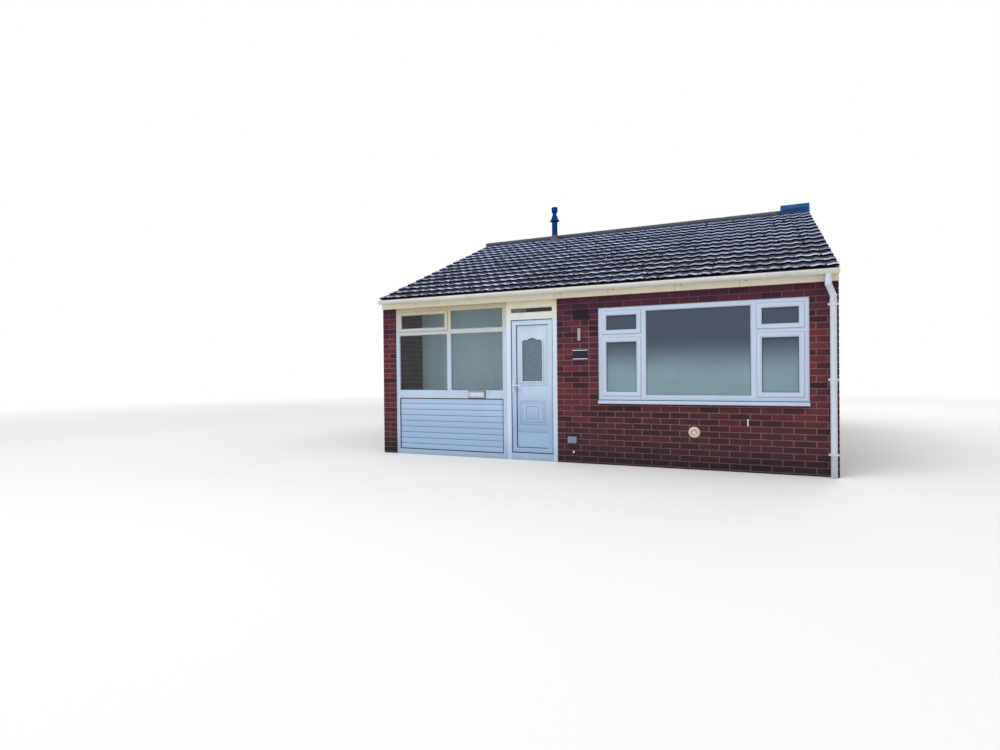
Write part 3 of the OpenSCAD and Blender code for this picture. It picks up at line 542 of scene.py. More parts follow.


# Finishes: the material's name, its colour or the setting that holds it, the colour of its dirt, which on the
# porch and door frames also paints bluish shade, and the rest
FINISHES = {
    # The mortar's darker purple top is painted shade under the eaves; its darkening near the ground is dirt.
    "mortar": ("pointing_mortar", ("brickwork", "mortar"), (84, 62, 66), dict(
        dirt_scale=4.0, dirt_low=0.42, dirt_high=0.75, patch=6.0, rough=(0.85, 0.98), grain=700.0, bump=0.001,
        low_dirt=0.55, top=((104, 74, 86), 1.7, 2.2), Specular_IOR_Level=0.1)),
    "plaster": ("wall_plaster", (206, 204, 198), (170, 166, 158), dict(
        dirt_most=0.25, patch=1.2, rough=(0.7, 0.9), grain=160.0, bump=0.0005)),
    "porch_paint": ("porch_wall_paint", (195, 224, 236), (160, 182, 190), dict(
        dirt_most=0.4, patch=2.0, rough=(0.6, 0.8), grain=260.0, bump=0.0006)),
    "concrete": ("floor_concrete", (150, 148, 142), (98, 94, 88), dict(
        dirt_scale=5.0, patch=4.0, rough=(0.7, 0.92), grain=120.0, bump=0.001)),
    "timber": ("roof_timber", (168, 134, 92), (116, 88, 58), dict(
        dirt_scale=30.0, dirt_low=0.4, rough=(0.6, 0.8), grain=90.0, bump=0.0008)),
    # Painted shade, with a little damp dirt: the dark faces of the tile noses and undersides.
    "tile_edge": ("damp_tile_edge", ("roofing", "shade"), (34, 34, 46), dict(
        dirt_scale=24.0, patch=14.0, lift=0.5, rough=(0.8, 0.95), grain=480.0, bump=0.0016,
        Specular_IOR_Level=0.1)),
    "moss": ("dry_moss", (58, 56, 44), (92, 90, 62), dict(
        dirt_scale=60.0, patch=50.0, lift=0.6, rough=(0.9, 1.0), grain=900.0, bump=0.003)),
    "bedding": ("ridge_mortar", (74, 74, 82), (46, 46, 52), dict(
        dirt_scale=16.0, patch=9.0, rough=(0.85, 0.98), grain=300.0, bump=0.002)),
    "ridge": ("ridge_tile_lichen", ("roofing", "ridge"), (40, 42, 52), dict(
        dirt_scale=14.0, dirt_low=0.4, patch=7.0, lift=0.6, rough=(0.75, 0.95), bump=0.0018)),
    "lead": ("lead_sheet", (84, 92, 112), (40, 44, 58), dict(
        dirt_scale=12.0, dirt_low=0.42, patch=10.0, lift=0.3, rough=(0.6, 0.8), grain=260.0, bump=0.0006,
        Specular_IOR_Level=0.3)),
    # The flue's and ridge vent's strong blue is partly painted sky light on their dark coating.
    "dark_metal": ("coated_dark_metal", (4, 56, 122), (14, 58, 110), dict(
        dirt_scale=18.0, dirt_low=0.55, patch=8.0, lift=0.4, rough=(0.7, 0.85), grain=300.0, bump=0.0005,
        Specular_IOR_Level=0.04)),
    "vent_metal": ("ridge_vent_coating", (34, 76, 128), (26, 50, 84), dict(
        patch=5.0, lift=0.3, rough=(0.7, 0.85), grain=340.0, bump=0.001, Specular_IOR_Level=0.2)),
    # The bluish greys of the white plastics, in the window, porch and door frames, downpipe and handles, are
    # painted sky-lit shade.
    "white": ("white_window_plastic", ("joinery", "white"), (168, 172, 176), dict(
        dirt_scale=6.0, dirt_most=0.22, patch=1.6, lift=0.05, rough=(0.28, 0.42))),
    # Porch and door frames: their bluish tone, deepest near the ground, is painted sky-lit shade, and their
    # cream top is painted warm light with some yellowing.
    "screen": ("porch_frame_plastic", (180, 198, 220), (112, 140, 180), dict(
        dirt_scale=7.0, dirt_most=0.2, patch=1.5, lift=0.04, low_dirt=0.5, top=((186, 174, 142), 1.5, 2.2))),
    "door_frame": ("door_frame_plastic", (203, 218, 236), (132, 156, 190), dict(
        dirt_scale=7.0, dirt_most=0.2, patch=1.5, lift=0.04, low_dirt=0.35,
        top=((220, 208, 164), 1.75, 2.3))),
    # The panel's blue is painted shade of white plastic, fading upwards to a lighter tone where less shade is
    # painted.
    "panel": ("panel_plastic", ("joinery", "panel"), (138, 158, 184), dict(
        dirt_scale=4.0, dirt_low=0.42, dirt_most=0.2, patch=1.2, lift=0.04, rough=(0.32, 0.48),
        top=((188, 206, 227), 0.35, 1.25))),
    "groove": ("shaded_groove", (50, 64, 90), (38, 48, 66), dict(
        dirt_scale=20.0, patch=6.0, lift=0.3, rough=(0.5, 0.7))),
    "board_groove": ("shaded_board_groove", (82, 102, 134), (56, 70, 92), dict(
        dirt_scale=20.0, patch=6.0, lift=0.4, rough=(0.5, 0.7))),
    "cream": ("fascia_cream", ("joinery", "cream"), (158, 146, 118), dict(
        dirt_scale=5.0, dirt_low=0.5, dirt_high=0.85, dirt_most=0.25, patch=1.4, lift=0.05, rough=(0.42, 0.6),
        grain=300.0, bump=0.0003)),
    "dirty_joint": ("dirty_fascia_joint", (124, 114, 98), (86, 78, 68), dict(
        dirt_scale=30.0, patch=12.0, rough=(0.6, 0.85), grain=500.0, bump=0.0004)),
    "gutter": ("gutter_plastic", (219, 218, 216), (150, 144, 134), dict(
        dirt_scale=7.0, dirt_low=0.52, dirt_high=0.85, dirt_most=0.35, patch=1.5, lift=0.04, rough=(0.3, 0.5),
        grain=380.0)),
    "pipe": ("downpipe_plastic", (200, 206, 222), (150, 152, 160), dict(
        dirt_low=0.5, dirt_high=0.85, dirt_most=0.4, patch=1.5, lift=0.04, rough=(0.3, 0.5), grain=380.0,
        low_dirt=0.25)),
    "gasket": ("black_gasket", (24, 27, 32), (50, 52, 56), dict(
        dirt_scale=30.0, patch=20.0, lift=0.4, rough=(0.55, 0.75), grain=600.0, bump=0.0003)),
    "steel": ("zinc_steel", (190, 192, 196), (128, 126, 122), dict(
        dirt_scale=30.0, patch=16.0, rough=(0.25, 0.45), grain=700.0, bump=0.0001, Metallic=0.9)),
    "handle": ("handle_coating", (200, 209, 224), (160, 166, 176), dict(
        dirt_scale=20.0, dirt_most=0.25, rough=(0.22, 0.35), grain=600.0, bump=0.0001)),
    "bell": ("bell_plastic", (160, 150, 158), (120, 112, 118), dict(
        dirt_scale=20.0, dirt_most=0.3, grain=600.0, bump=0.0001)),
    "plaque": ("slate_plaque", (24, 24, 46), (48, 48, 66), dict(
        dirt_scale=16.0, patch=18.0, lift=0.5, rough=(0.5, 0.7), grain=260.0, bump=0.0006,
        Specular_IOR_Level=0.3)),
    "grey_plastic": ("grey_box_plastic", (118, 130, 152), (88, 96, 112), dict(
        dirt_scale=14.0, patch=9.0, rough=(0.4, 0.6), bump=0.0003)),
    "cap": ("vent_cap_plastic", (218, 204, 190), (170, 152, 132), dict(
        dirt_scale=18.0, dirt_low=0.5, patch=9.0, rough=(0.4, 0.6), bump=0.0003)),
    # Painted shade in the vent cap's ring hollows.
    "cap_ring": ("dirty_cap_ring", (180, 160, 142), (150, 128, 110), dict(
        dirt_scale=18.0, patch=9.0, rough=(0.5, 0.7), bump=0.0003)),
    "air_brick": ("dark_air_brick", (40, 32, 46), (28, 22, 34), dict(
        dirt_scale=12.0, patch=20.0, lift=0.3, rough=(0.75, 0.95), bump=0.001, Specular_IOR_Level=0.15)),
}


def brick_colour(tree, b):
    """Each brick's own tone, with dark and light patches, a painted purple shade under the eaves and darker at
    the foot.
    """
    ramp = add(tree, "ValToRGB", Fac=attribute(tree, "tone"))
    stops = ramp.color_ramp.elements
    stops[0].color, stops[1].color = (*b.dark_brick, 1.0), (*b.warm_brick, 1.0)
    stops.new(0.4).color = (*b.brick, 1.0)
    c = part_mix(tree, patches(tree, 38.0, 0.42, 0.75), 0.55, ramp.outputs[0], tone(54, 36, 42))
    c = part_mix(tree, patches(tree, 160.0, 0.56, 0.68), 0.4, c, tone(128, 84, 78))
    # Painted shade of the eaves: darker and purpler towards the wall's top.
    c = part_mix(tree, rise(tree, 1.5, 2.25), 0.6, c, tone(58, 34, 54))
    c = part_mix(tree, rise(tree, 1.0, 0.35), 0.6, c, tone(64, 48, 50))
    c = part_mix(tree, rise(tree, 0.34, 0.04), 0.8, c, tone(37, 33, 42))
    return part_mix(tree, patches(tree, 1.3, 0.5, 0.75), 0.35, c, tone(58, 40, 46))


def tile_colour(tree, r):
    """Pale weathered faces with stains, lighter and bluer up the slope by painted sky reflection, and darker
    towards the next course by painted shade with some damp dirt.
    """
    c = mix(tree, attribute(tree, "tone"), tuple(v * 0.74 for v in r.tile),
            tuple(min(1.0, v * 1.22) for v in r.tile))
    c = part_mix(tree, patches(tree, 26.0, 0.45, 0.72), 0.5, c, tone(80, 80, 104))
    c = part_mix(tree, patches(tree, 70.0, 0.62, 0.68), 0.75, c, tone(206, 204, 206))
    c = part_mix(tree, patches(tree, 11.0, 0.58, 0.7), 0.8, c, tuple(r.moss))
    # Painted sky reflection: lighter and bluer up the slope; the dark tone below turns bluer up the slope too.
    height = rise(tree, 2.6, 4.0)
    c = part_mix(tree, height, 0.6, c, tone(200, 220, 255))
    # The dark tone of the stains and of the painted shade.
    stain_and_shade_tone = mix(tree, height, tuple(r.shade), tone(14, 28, 68))
    c = part_mix(tree, patches(tree, 4.5, 0.54, 0.64), 0.45, c, stain_and_shade_tone)
    wander = math_node(tree, "ADD", math_node(tree, "MULTIPLY", patches(tree, 9.0, 0.3, 0.7), 0.2),
                       math_node(tree, "MULTIPLY", patches(tree, 2.2, 0.3, 0.7), 0.1))
    # Painted shade towards the next course's nose, where some damp dirt also gathers.
    damp = soft_range(tree, math_node(tree, "ADD", attribute(tree, "along"), wander), 0.15, 0.60)
    return part_mix(tree, damp, 0.96, c, stain_and_shade_tone)


def pane(name, tint, low, shift, clearness, bend):
    """A window pane whose tint turns to another one downwards, a painted reflection of the ground, slightly
    clouded.
    """
    def colour_of(tree):
        height = WINDOW[3] - WINDOW[2]
        z = add(tree, "SeparateXYZ", Vector=object_place(tree)).outputs["Z"]
        up = soft_range(tree, z, WINDOW[2] + 0.25 * height, WINDOW[3] - 0.35 * height)
        return part_mix(tree, patches(tree, 2.2, 0.4, 0.7), shift, mix(tree, up, low, tint),
                        tuple(v * 0.6 for v in tint))

    return surface(name, colour_of, 0.02, lambda t: patches(t, 3.0, 0.2, 0.8), 0.0006,
                   Transmission_Weight=clearness, IOR=bend, Specular_IOR_Level=0.4)


def build_materials(scene):
    """All finishes of the house."""
    b, r, g, m = scene.brickwork, scene.roofing, scene.glazing, MATERIALS
    build_effects()
    for key, (name, base, dirt, options) in FINISHES.items():
        base = tuple(getattr(getattr(scene, base[0]), base[1])) if isinstance(base[0], str) else tone(*base)
        m[key] = worn(name, base, dirt, **options)
    m["brick"] = surface("fired_brick", lambda t: brick_colour(t, b), patchy(60.0, 0.72, 0.95), grainy(420.0),
                         0.0012, Specular_IOR_Level=0.08)
    # Painted shade: the porch's side wall takes the brick colour darkened towards purple-black.
    m["porch_brick"] = surface("sheltered_brick",
                               lambda t: mix(t, 0.75, brick_colour(t, b), tone(24, 22, 38)), 0.9,
                               grainy(420.0), 0.0012, Specular_IOR_Level=0.1)
    m["tile"] = surface("concrete_tile", lambda t: tile_colour(t, r), patchy(30.0, 0.62, 0.9), grainy(520.0),
                        0.0016, Specular_IOR_Level=0.04)
    # The dark window glass turns lighter and greener downwards: a painted reflection of the ground.
    m["dark_glass"] = pane("dark_window_glass", tuple(g.dark), tone(146, 176, 188), 0.12, 0.35, 1.45)
    m["clear_glass"] = pane("porch_glass", tuple(g.clear), tuple(g.clear), 0.0, 1.0, 1.33)
    m["obscured"] = surface(
        "obscured_door_glass",
        lambda t: mix(t, patches(t, 60.0, 0.35, 0.65), tuple(g.obscured), tone(98, 118, 132)),
        patchy(90.0, 0.28, 0.5), lambda t: patches(t, 85.0, 0.3, 0.7), 0.004,
        Transmission_Weight=0.35, IOR=1.45)


# Brickwork

WALL_TOP = board_z(FRONT) - 0.030
WALL_SLOPE, GABLE_SLOPE = 0.0275, 0.006  # how far the walls' tops lie below the boards' upper face
SHORTEST, THINNEST = 0.012, 0.010  # the shortest brick and the thinnest course that are laid
STRETCHER = 0.060  # how deep the bricks are made


def tagged():
    """A new bmesh whose points carry a tone from 0 to 1."""
    bm = bmesh.new()
    return bm, bm.verts.layers.float.new("tone")


def set_tone(layer, verts, value):
    for v in verts:
        v[layer] = value


def near(value, places):
    return any(abs(value - place) < TOUCH for place in places)


def cut_to_slope(bm, side, drop):
    """Cuts a wall's top parallel to the front slope of the roof, -1, or to the rear one, 1."""
    cut(bm, (0, -side * FRONT, board_z(FRONT) - drop), (0, side * math.sin(PITCH), math.cos(PITCH)))


def brick_runs(a, b, phase, pitch):
    """The bricks between two stopped ends, as lengths; slivers at the ends are shared with the next brick."""
    first = math.ceil((a - phase) / pitch + TOUCH)
    joints = [a] + [phase + k * pitch for k in range(first, first + int((b - a) / pitch) + 2)
                    if phase + k * pitch < b - TOUCH] + [b]
    joints = [q for i, q in enumerate(joints)
              if i == 0 or q - joints[i - 1] > SHORTEST or i == len(joints) - 1]
    short = 0.26 * pitch
    if len(joints) > 3 and joints[1] - joints[0] < short:
        joints[1] = (joints[0] + joints[2]) / 2
    if len(joints) > 3 and joints[-1] - joints[-2] < short:
        joints[-2] = (joints[-1] + joints[-3]) / 2
    return list(zip(joints, joints[1:]))


def courses(s, top):
    """Each course's number and the foot and head of its bricks, from the one that the ground cuts upwards."""
    n = -1
    while s.first_joint + n * s.course < top:
        foot, head = (s.first_joint + k * s.course for k in (n, n + 1))
        yield n, max(0.0, foot + s.joint / 2), head - s.joint / 2
        n += 1


def lay_one(bm, layer, rng, x0, x1, z0, z1, depth=STRETCHER):
    """One brick with its own tone; returns the edges of its face at y = 0."""
    verts = box(bm, (x0, 0.0, z0), (x1, depth, z1))
    set_tone(layer, verts, rng.random())
    return [e for e in edges_of(verts) if all(v.co.y < TOUCH for v in e.verts)]


def beside_hole(span, hole, half):
    """What a hole leaves of a stretch of wall, with half a joint under and over the hole."""
    u0, u1, v0, v1 = span
    x0, x1, z0, z1 = hole
    if v1 <= z0 or v0 >= z1 or u1 <= x0 or u0 >= x1:
        return [span]
    parts = [(u0, x0, v0, v1)] if u0 < x0 else []
    if u1 > x1:
        parts.append((x1, u1, v0, v1))
    if z0 - half - v0 > SHORTEST:
        parts.append((x0, x1, v0, z0 - half))
    if v1 - z1 - half > SHORTEST:
        parts.append((x0, x1, z1 + half, v1))
    return parts


def lay_bricks(s, rng, a, b, top, y=FRONT, holes=(), phase=None, depth=STRETCHER, corners=(False, False)):
    """Stretcher bond from x = a to b and from the ground up to top, its face at y, with softened arrises.

    corners says whether the bricks turn the corner at a and at b.
    """
    bm, layer = tagged()
    half, edges = s.joint / 2, []
    starts, stops = [a] + [h[1] for h in holes], [b] + [h[0] for h in holes]
    for n, low, high in courses(s, top - 0.015):
        high = min(high, top)
        if high - low <= THINNEST:
            continue
        shift = (s.phase if phase is None else phase) + (n % 2) * s.pitch / 2
        header = (s.pitch if n % 2 else s.pitch / 2) - s.joint
        spans = [(a, b, low, high)]
        for hole in holes:
            spans = [part for span in spans for part in beside_hole(span, hole, half)]
        for u0, u1, z0, z1 in spans:
            for x0, x1 in brick_runs(u0, u1, shift, s.pitch):
                x0 += 0.0 if near(x0, starts) else half
                x1 -= 0.0 if near(x1, stops) else half
                if x1 - x0 >= SHORTEST:
                    turns = corners[0] and near(x0, [a]) or corners[1] and near(x1, [b])
                    edges += lay_one(bm, layer, rng, x0, x1, z0, z1, header if turns else depth)
    bmesh.ops.translate(bm, verts=bm.verts, vec=(0, y, 0))
    round_edges(bm, edges, s.arris, 1)
    return bm


def lay_gable(s, rng):
    """A party wall's outer face at y = 0; the corner bricks belong to the front and rear brickwork."""
    bm, layer = tagged()
    half, shortest, edges = s.joint / 2, 0.03, []
    for n, low, high in courses(s, board_z(0.0)):
        corner = s.pitch if n % 2 else s.pitch / 2
        reach = -FRONT - (corner if WALL_TOP - low > THINNEST else 0.0)
        reach = min(reach, -FASCIA_FACE - (low - FASCIA_TOP) / math.tan(PITCH))
        if high - low > THINNEST and reach > shortest:
            for x0, x1 in brick_runs(-reach, reach, -FRONT - (0.0 if n % 2 else s.pitch / 2), s.pitch):
                if x1 - x0 >= shortest:
                    edges += lay_one(bm, layer, rng, x0 + half, x1 - half, low, high)
    round_edges(bm, edges, s.arris, 1)
    return bm


class OBJECT_OT_bungalow_brickwork(bpy.types.Operator):
    """Lays the facing bricks over recessed mortar on all outer walls and in the porch"""
    bl_idname = "object.bungalow_brickwork"
    bl_label = "Brickwork"

    def execute(self, context):
        s = context.scene.brickwork
        rng = random.Random(11)
        for name, a, b, bond in (
                ("front", PORCH_RIGHT, RIGHT, dict(holes=FRONT_HOLES, corners=(False, True))),
                ("pier", LEFT, PORCH_LEFT, dict(phase=PORCH_LEFT, corners=(True, False))),
                ("rear", LEFT, RIGHT, dict(holes=REAR_HOLES, phase=RIGHT, corners=(True, True)))):
            bm = lay_bricks(s, rng, a, b, WALL_TOP, **bond)
            if name == "rear":
                to_rear(bm)
            piece(name + "_brickwork", bm, "brick", "brick")
        for name, x, turn in (("left", LEFT, -math.pi / 2), ("right", RIGHT, math.pi / 2)):
            bm = lay_gable(s, rng)
            move(bm, Matrix.Translation((x, 0, 0)) @ Matrix.Rotation(turn, 4, "Z"))
            for side in (-1, 1):
                cut_to_slope(bm, side, GABLE_SLOPE)
            piece(name + "_party_brickwork", bm, "brick", "brick")
        # The side of the porch that shows through its left pane, in a darkened brick finish that paints the
        # porch's shade
        bm = lay_bricks(s, rng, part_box("screen_frame")[1].y, BACK_WALL[0].y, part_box("ceiling")[0].z - 0.004,
                        y=0.0, phase=INNER_FRONT, depth=0.045)
        move(bm, Matrix.Translation((INNER_LEFT, 0, 0)) @ Matrix.Rotation(math.pi / 2, 4, "Z"))
        piece("porch_side_brickwork", bm, "porch_brick", "brick")
        self.cores(s.recess)
        return {"FINISHED"}

    def cores(self, recess):
        """Mortar-faced wall bodies that stand a joint's recess behind the brick faces."""
        along, over_top = ((1, 0, 0), (-1, 0, 0)), 2.60
        for side, x0, holes, inwards in (("front", PORCH_RIGHT + recess, FRONT_HOLES, 1),
                                         ("rear", INNER_LEFT, REAR_HOLES, -1)):
            bm = holed_panel((x0, INNER_RIGHT, 0.0, over_top), holes, FRONT + recess, INNER_FRONT)
            cut_to_slope(bm, -1, WALL_SLOPE)
            if side == "rear":
                to_rear(bm)
            self.core(side + "_wall_core", bm, side + "_wall", (*along, (0, inwards, 0)))
        for side, x0, x1, plastered in (("left", LEFT + recess, INNER_LEFT - recess, ()),
                                        ("right", INNER_RIGHT, RIGHT - recess, along[1:])):
            bm = bmesh.new()
            box(bm, (x0, FRONT + recess, 0.0), (x1, -FRONT - recess, board_z(0.0) + 0.1))
            for slope in (-1, 1):
                cut_to_slope(bm, slope, GABLE_SLOPE)
            self.core(side + "_party_core", bm, side + "_party_wall", plastered)

    def core(self, name, bm, node, plastered):
        """Makes one wall body; the faces that look in the plastered directions are plaster."""
        bmesh.ops.recalc_face_normals(bm, faces=bm.faces)
        for f in bm.faces:
            f.material_index = int(any(f.normal.dot(way) > 0.9 for way in plastered))
        piece(name, bm, ("mortar", "plaster"), "mortar", replaced=(node,))


# Roof; a slope's pieces are made flat, X along the eaves and Y up the slope from the first nose

EAVES_Y = FRONT - 0.088
TILE_GAP = 0.0015
PAN_SHARE = 0.46  # the share of a roll's period that its flat pan takes


class OBJECT_OT_bungalow_roof(bpy.types.Operator):
    """Lays double-roll tiles in courses, with battens, bedding, ridge tiles, vent, flue and flashing"""
    bl_idname = "object.bungalow_roof"
    bl_label = "Roof"

    def execute(self, context):
        s = context.scene.roofing
        self.gauge = -EAVES_Y / math.cos(PITCH) / s.courses
        self.period = (RIGHT - LEFT) / s.across / 2
        rng = random.Random(23)
        front = Matrix.Translation((0, EAVES_Y, board_z(EAVES_Y))) @ Matrix.Rotation(PITCH, 4, "X")
        for side, place in (("front", front), ("rear", Matrix.Rotation(math.pi, 4, "Z") @ front)):
            tiles = self.tiling(s, rng)
            move(tiles, place)
            piece(side + "_tiling", tiles, ("tile", "tile_edge"), "roof_tile",
                  replaced=(side + "_roof_tiles",), smooth=45, normals=False)
            battens = self.battens(s)
            move(battens, place)
            piece(side + "_battens", battens, "timber", "roof_wood")
            moss = self.moss(s, rng)
            move(moss, place)
            piece(side + "_moss", moss, "moss", "roof_tile", smooth=60)
        self.ridge()
        self.flashing(s, front)
        dressed("ridge_vent", "vent_metal", "dark_metal", 0.004)
        skirt = bmesh.new()
        low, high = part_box("ridge_vent")
        soft_box(skirt, (low.x + 0.004, low.y + 0.004, board_z(0.15) + 0.020),
                 (high.x, high.y - 0.004, low.z + 0.012), 0.004)
        piece("ridge_vent_skirt", skirt, "lead", "lead")
        dressed("flue_terminal", "dark_metal", "dark_metal", 0.0)
        return {"FINISHED"}

    def surface_z(self, y, s):
        """Height of the rolls above the boards, a distance y up from a course's nose."""
        return s.nose - (s.nose - s.heel) * y / self.gauge

    def roll(self, u, s):
        """Height of the tile's face below its rolls, at a share u of one roll's period."""
        if u < PAN_SHARE:
            return -s.roll + 0.0012 * math.cos(2 * math.pi * u / PAN_SHARE)
        return -s.roll * (1 - math.sin(math.pi * (u - PAN_SHARE) / (1 - PAN_SHARE)) ** 0.8)

    def one_tile(self, s, reach):
        """A single tile as a mesh: its profile drawn up the slope from the dark nose at y = 0."""
        bm = bmesh.new()
        steps, chamfer = 11, 0.004
        chain = []
        for k in range(2 * steps + 1):
            u = k / steps
            chain.append(bm.verts.new((TILE_GAP + u * self.period * (1 - TILE_GAP / self.period), 0.0,
                                       self.roll(u % 1.0, s) + s.nose - chamfer)))
        edges = [bm.edges.new(pair) for pair in zip(chain, chain[1:])]
        drop = (s.nose - s.heel) / self.gauge
        middle = 0.55 * self.gauge
        rest = reach - chamfer - middle
        for step in ((0, chamfer, 0.0037), (0, middle, -drop * middle), (0, rest, -drop * rest)):
            made = bmesh.ops.extrude_edge_only(bm, edges=edges)["geom"]
            edges = edges_in(made)
            bmesh.ops.translate(bm, verts=verts_in(made), vec=step)
        made = bmesh.ops.extrude_face_region(bm, geom=bm.faces[:])["geom"]
        for v in verts_in(made):
            v.co.z -= s.nose_face if v.co.y < 0.001 else (s.nose_face + 0.005 if v.co.y < 0.01 else 0.010)
        along = bm.verts.layers.float.new("along")
        for v in bm.verts:
            v[along] = min(v.co.y / self.gauge, 1.0)
        bmesh.ops.recalc_face_normals(bm, faces=bm.faces)
        for f in bm.faces:
            # Faces that don't face up, the noses' fronts and the undersides, take the dark edge finish, which
            # paints their shade.
            f.material_index = 0 if f.normal.z > 0.35 else 1
        mesh = bpy.data.meshes.new("tile")
        bm.to_mesh(mesh)
        bm.free()
        return mesh

    def tiling(self, s, rng):
        """All tiles of a slope, each a little out of line, with its own tone."""
        bm = bmesh.new()
        for name in ("tone", "along"):
            bm.verts.layers.float.new(name)
        layer = bm.verts.layers.float["tone"]
        full, last = self.one_tile(s, self.gauge + s.lap), self.one_tile(s, self.gauge - 0.012)
        middle = Matrix.Translation((self.period, 0, 0))
        for row in range(s.courses):
            for col in range(s.across):
                bm.from_mesh(last if row == s.courses - 1 else full)
                bm.verts.ensure_lookup_table()
                verts = bm.verts[-len(full.vertices):]
                x = LEFT + col * 2 * self.period
                x += 0.0 if col in (0, s.across - 1) else rng.uniform(-0.0008, 0.0008)
                place = Matrix.Translation((x, row * self.gauge + rng.uniform(0.0, 0.005),
                                            rng.uniform(-0.0022, 0.0012)))
                tilt = Matrix.Rotation(rng.uniform(-0.0035, 0.0035), 4, "Y")
                bmesh.ops.transform(bm, matrix=place @ middle @ tilt @ middle.inverted(), verts=verts)
                set_tone(layer, verts, rng.random())
        for v in bm.verts:
            v.co.x = min(max(v.co.x, LEFT + 0.0005), RIGHT - 0.0005)
        for mesh in (full, last):
            bpy.data.meshes.remove(mesh)
        return bm

    def battens(self, s):
        """A batten under each course's head, and an edge strip along each end of the slope."""
        bm = bmesh.new()
        foot, wide = 0.0004, 0.03
        for row in range(s.courses):
            y = (row + 1) * self.gauge - 0.03
            soft_box(bm, (LEFT + 0.001, y - 0.038, foot), (RIGHT - 0.001, y, 0.009), 0.001, 1)
        for x in (LEFT, RIGHT - wide):
            soft_box(bm, (x, 0.02, foot), (x + wide, s.courses * self.gauge - 0.02, 0.0125), 0.002, 1)
        return bm

    def moss(self, s, rng):
        """Cushions of moss in the pans, behind the noses, most on the lower courses."""
        bm = bmesh.new()
        for _ in range(s.moss_count):
            row = int(s.courses * rng.random() ** 1.5)
            x = LEFT + (rng.randrange(2 * s.across) + rng.uniform(0.06, 0.42)) * self.period
            x = min(max(x, LEFT + 0.035), RIGHT - 0.035)
            up = rng.uniform(0.004, 0.03)
            size = rng.uniform(0.006, 0.014)
            place = (Matrix.Translation((x, row * self.gauge + up, self.surface_z(up, s) - s.roll))
                     @ Matrix.Rotation(rng.uniform(0, 3), 4, "Z")
                     @ Matrix.Diagonal((size * rng.uniform(1.0, 2.0), size, size * 0.6, 1.0)))
            verts = bmesh.ops.create_icosphere(bm, subdivisions=2, radius=1.0, matrix=place)["verts"]
            for v in verts:
                v.co += v.normal * rng.uniform(-0.0012, 0.0012)
        return bm

    def ridge(self):
        """The segmental ridge tiles, and the mortar that shows under their edges and at their ends."""
        low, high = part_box("ridge_tiles")
        half, rise_h = (high.y - low.y) / 2, high.z - low.z
        outer = (half ** 2 + rise_h ** 2) / (2 * rise_h)
        start, end = LEFT + 0.003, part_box("ridge_bed")[1].x - 0.001
        dressed("ridge_tiles", "ridge", "roof_tile", 0.003)
        bm = bmesh.new()
        turn = Matrix.Translation((start, 0, high.z - outer)) @ Matrix.Rotation(math.pi / 2, 4, "Y")
        bmesh.ops.create_circle(bm, cap_ends=True, segments=64, radius=outer - 0.0165, matrix=turn)
        thicken(bm, bm.faces[:], (end - start, 0, 0))
        cut(bm, (0, 0, low.z - 0.022), (0, 0, -1))
        for y in (-0.118, 0.085):
            soft_box(bm, (start, y, low.z - 0.045), (end, y + 0.033, low.z - 0.0008), 0.004, 1)
        piece("ridge_bedding", bm, "bedding", "mortar", replaced=("ridge_bed",), smooth=40)

    def flashing(self, s, place):
        """A lead sheet dressed over the rolls round the flue, with an upstand."""
        low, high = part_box("flue_terminal")
        centre = (low + high) / 2
        width, below, above, turn_down = 0.4, 0.215, 0.165, 0.03
        y = (centre.y - EAVES_Y) / math.cos(PITCH) + (above - below) / 2
        bm = bmesh.new()
        grid = Matrix.Translation((centre.x, y, 0)) @ Matrix.Diagonal((width, above + below, 1, 1))
        bmesh.ops.create_grid(bm, x_segments=44, y_segments=30, size=0.5, matrix=grid)
        for v in bm.verts:
            up = v.co.y % self.gauge
            z = self.surface_z(up, s)
            if up > self.gauge - turn_down:
                z += (s.nose - s.heel) * (up - self.gauge + turn_down) / turn_down
            u = ((v.co.x - LEFT) / self.period) % 1.0
            v.co.z = z + 0.86 * self.roll(u, s) + 0.0045 + 0.0012 * noise.noise(v.co * 30)
        thicken(bm, bm.faces[:], (0, 0, -0.003))
        move(bm, place)
        collar = bmesh.new()
        lathe(collar, ((0.0590, -0.06), (0.0590, 0.085), (0.0640, 0.090), (0.0665, 0.082), (0.0640, 0.074),
                       (0.0650, 0.02), (0.080, -0.012), (0.080, -0.06)), 40)
        seat = board_z(centre.y) + 0.062 / math.cos(PITCH)
        merge_into(bm, collar, Matrix.Translation((centre.x, centre.y, seat)))
        piece("flue_flashing_dressed", bm, "lead", "lead", replaced=("flue_flashing",), smooth=50)


# Joinery

SASH_BEAD, FIXED_BEAD = 0.011, 0.008  # widths of the beads
BEAD_LAP = 0.009  # how far a sash's bead reaches over its stile


def window_lights(j, rect, wide):
    """The openings of a window, as rectangles, and whether a sash fills them."""
    x0, x1, z0, z1 = grown(rect, -j.bar)
    heights = ((z0, z1 - j.fan - j.mullion), (z1 - j.fan, z1))
    lights = [((x1 - j.side, x1, *h), True) for h in heights]
    if wide:
        lights += [((x0, x0 + j.side, *h), True) for h in heights]
        x0 += j.side + j.mullion
    return lights + [((x0, x1 - j.side - j.mullion, z0, z1), False)]


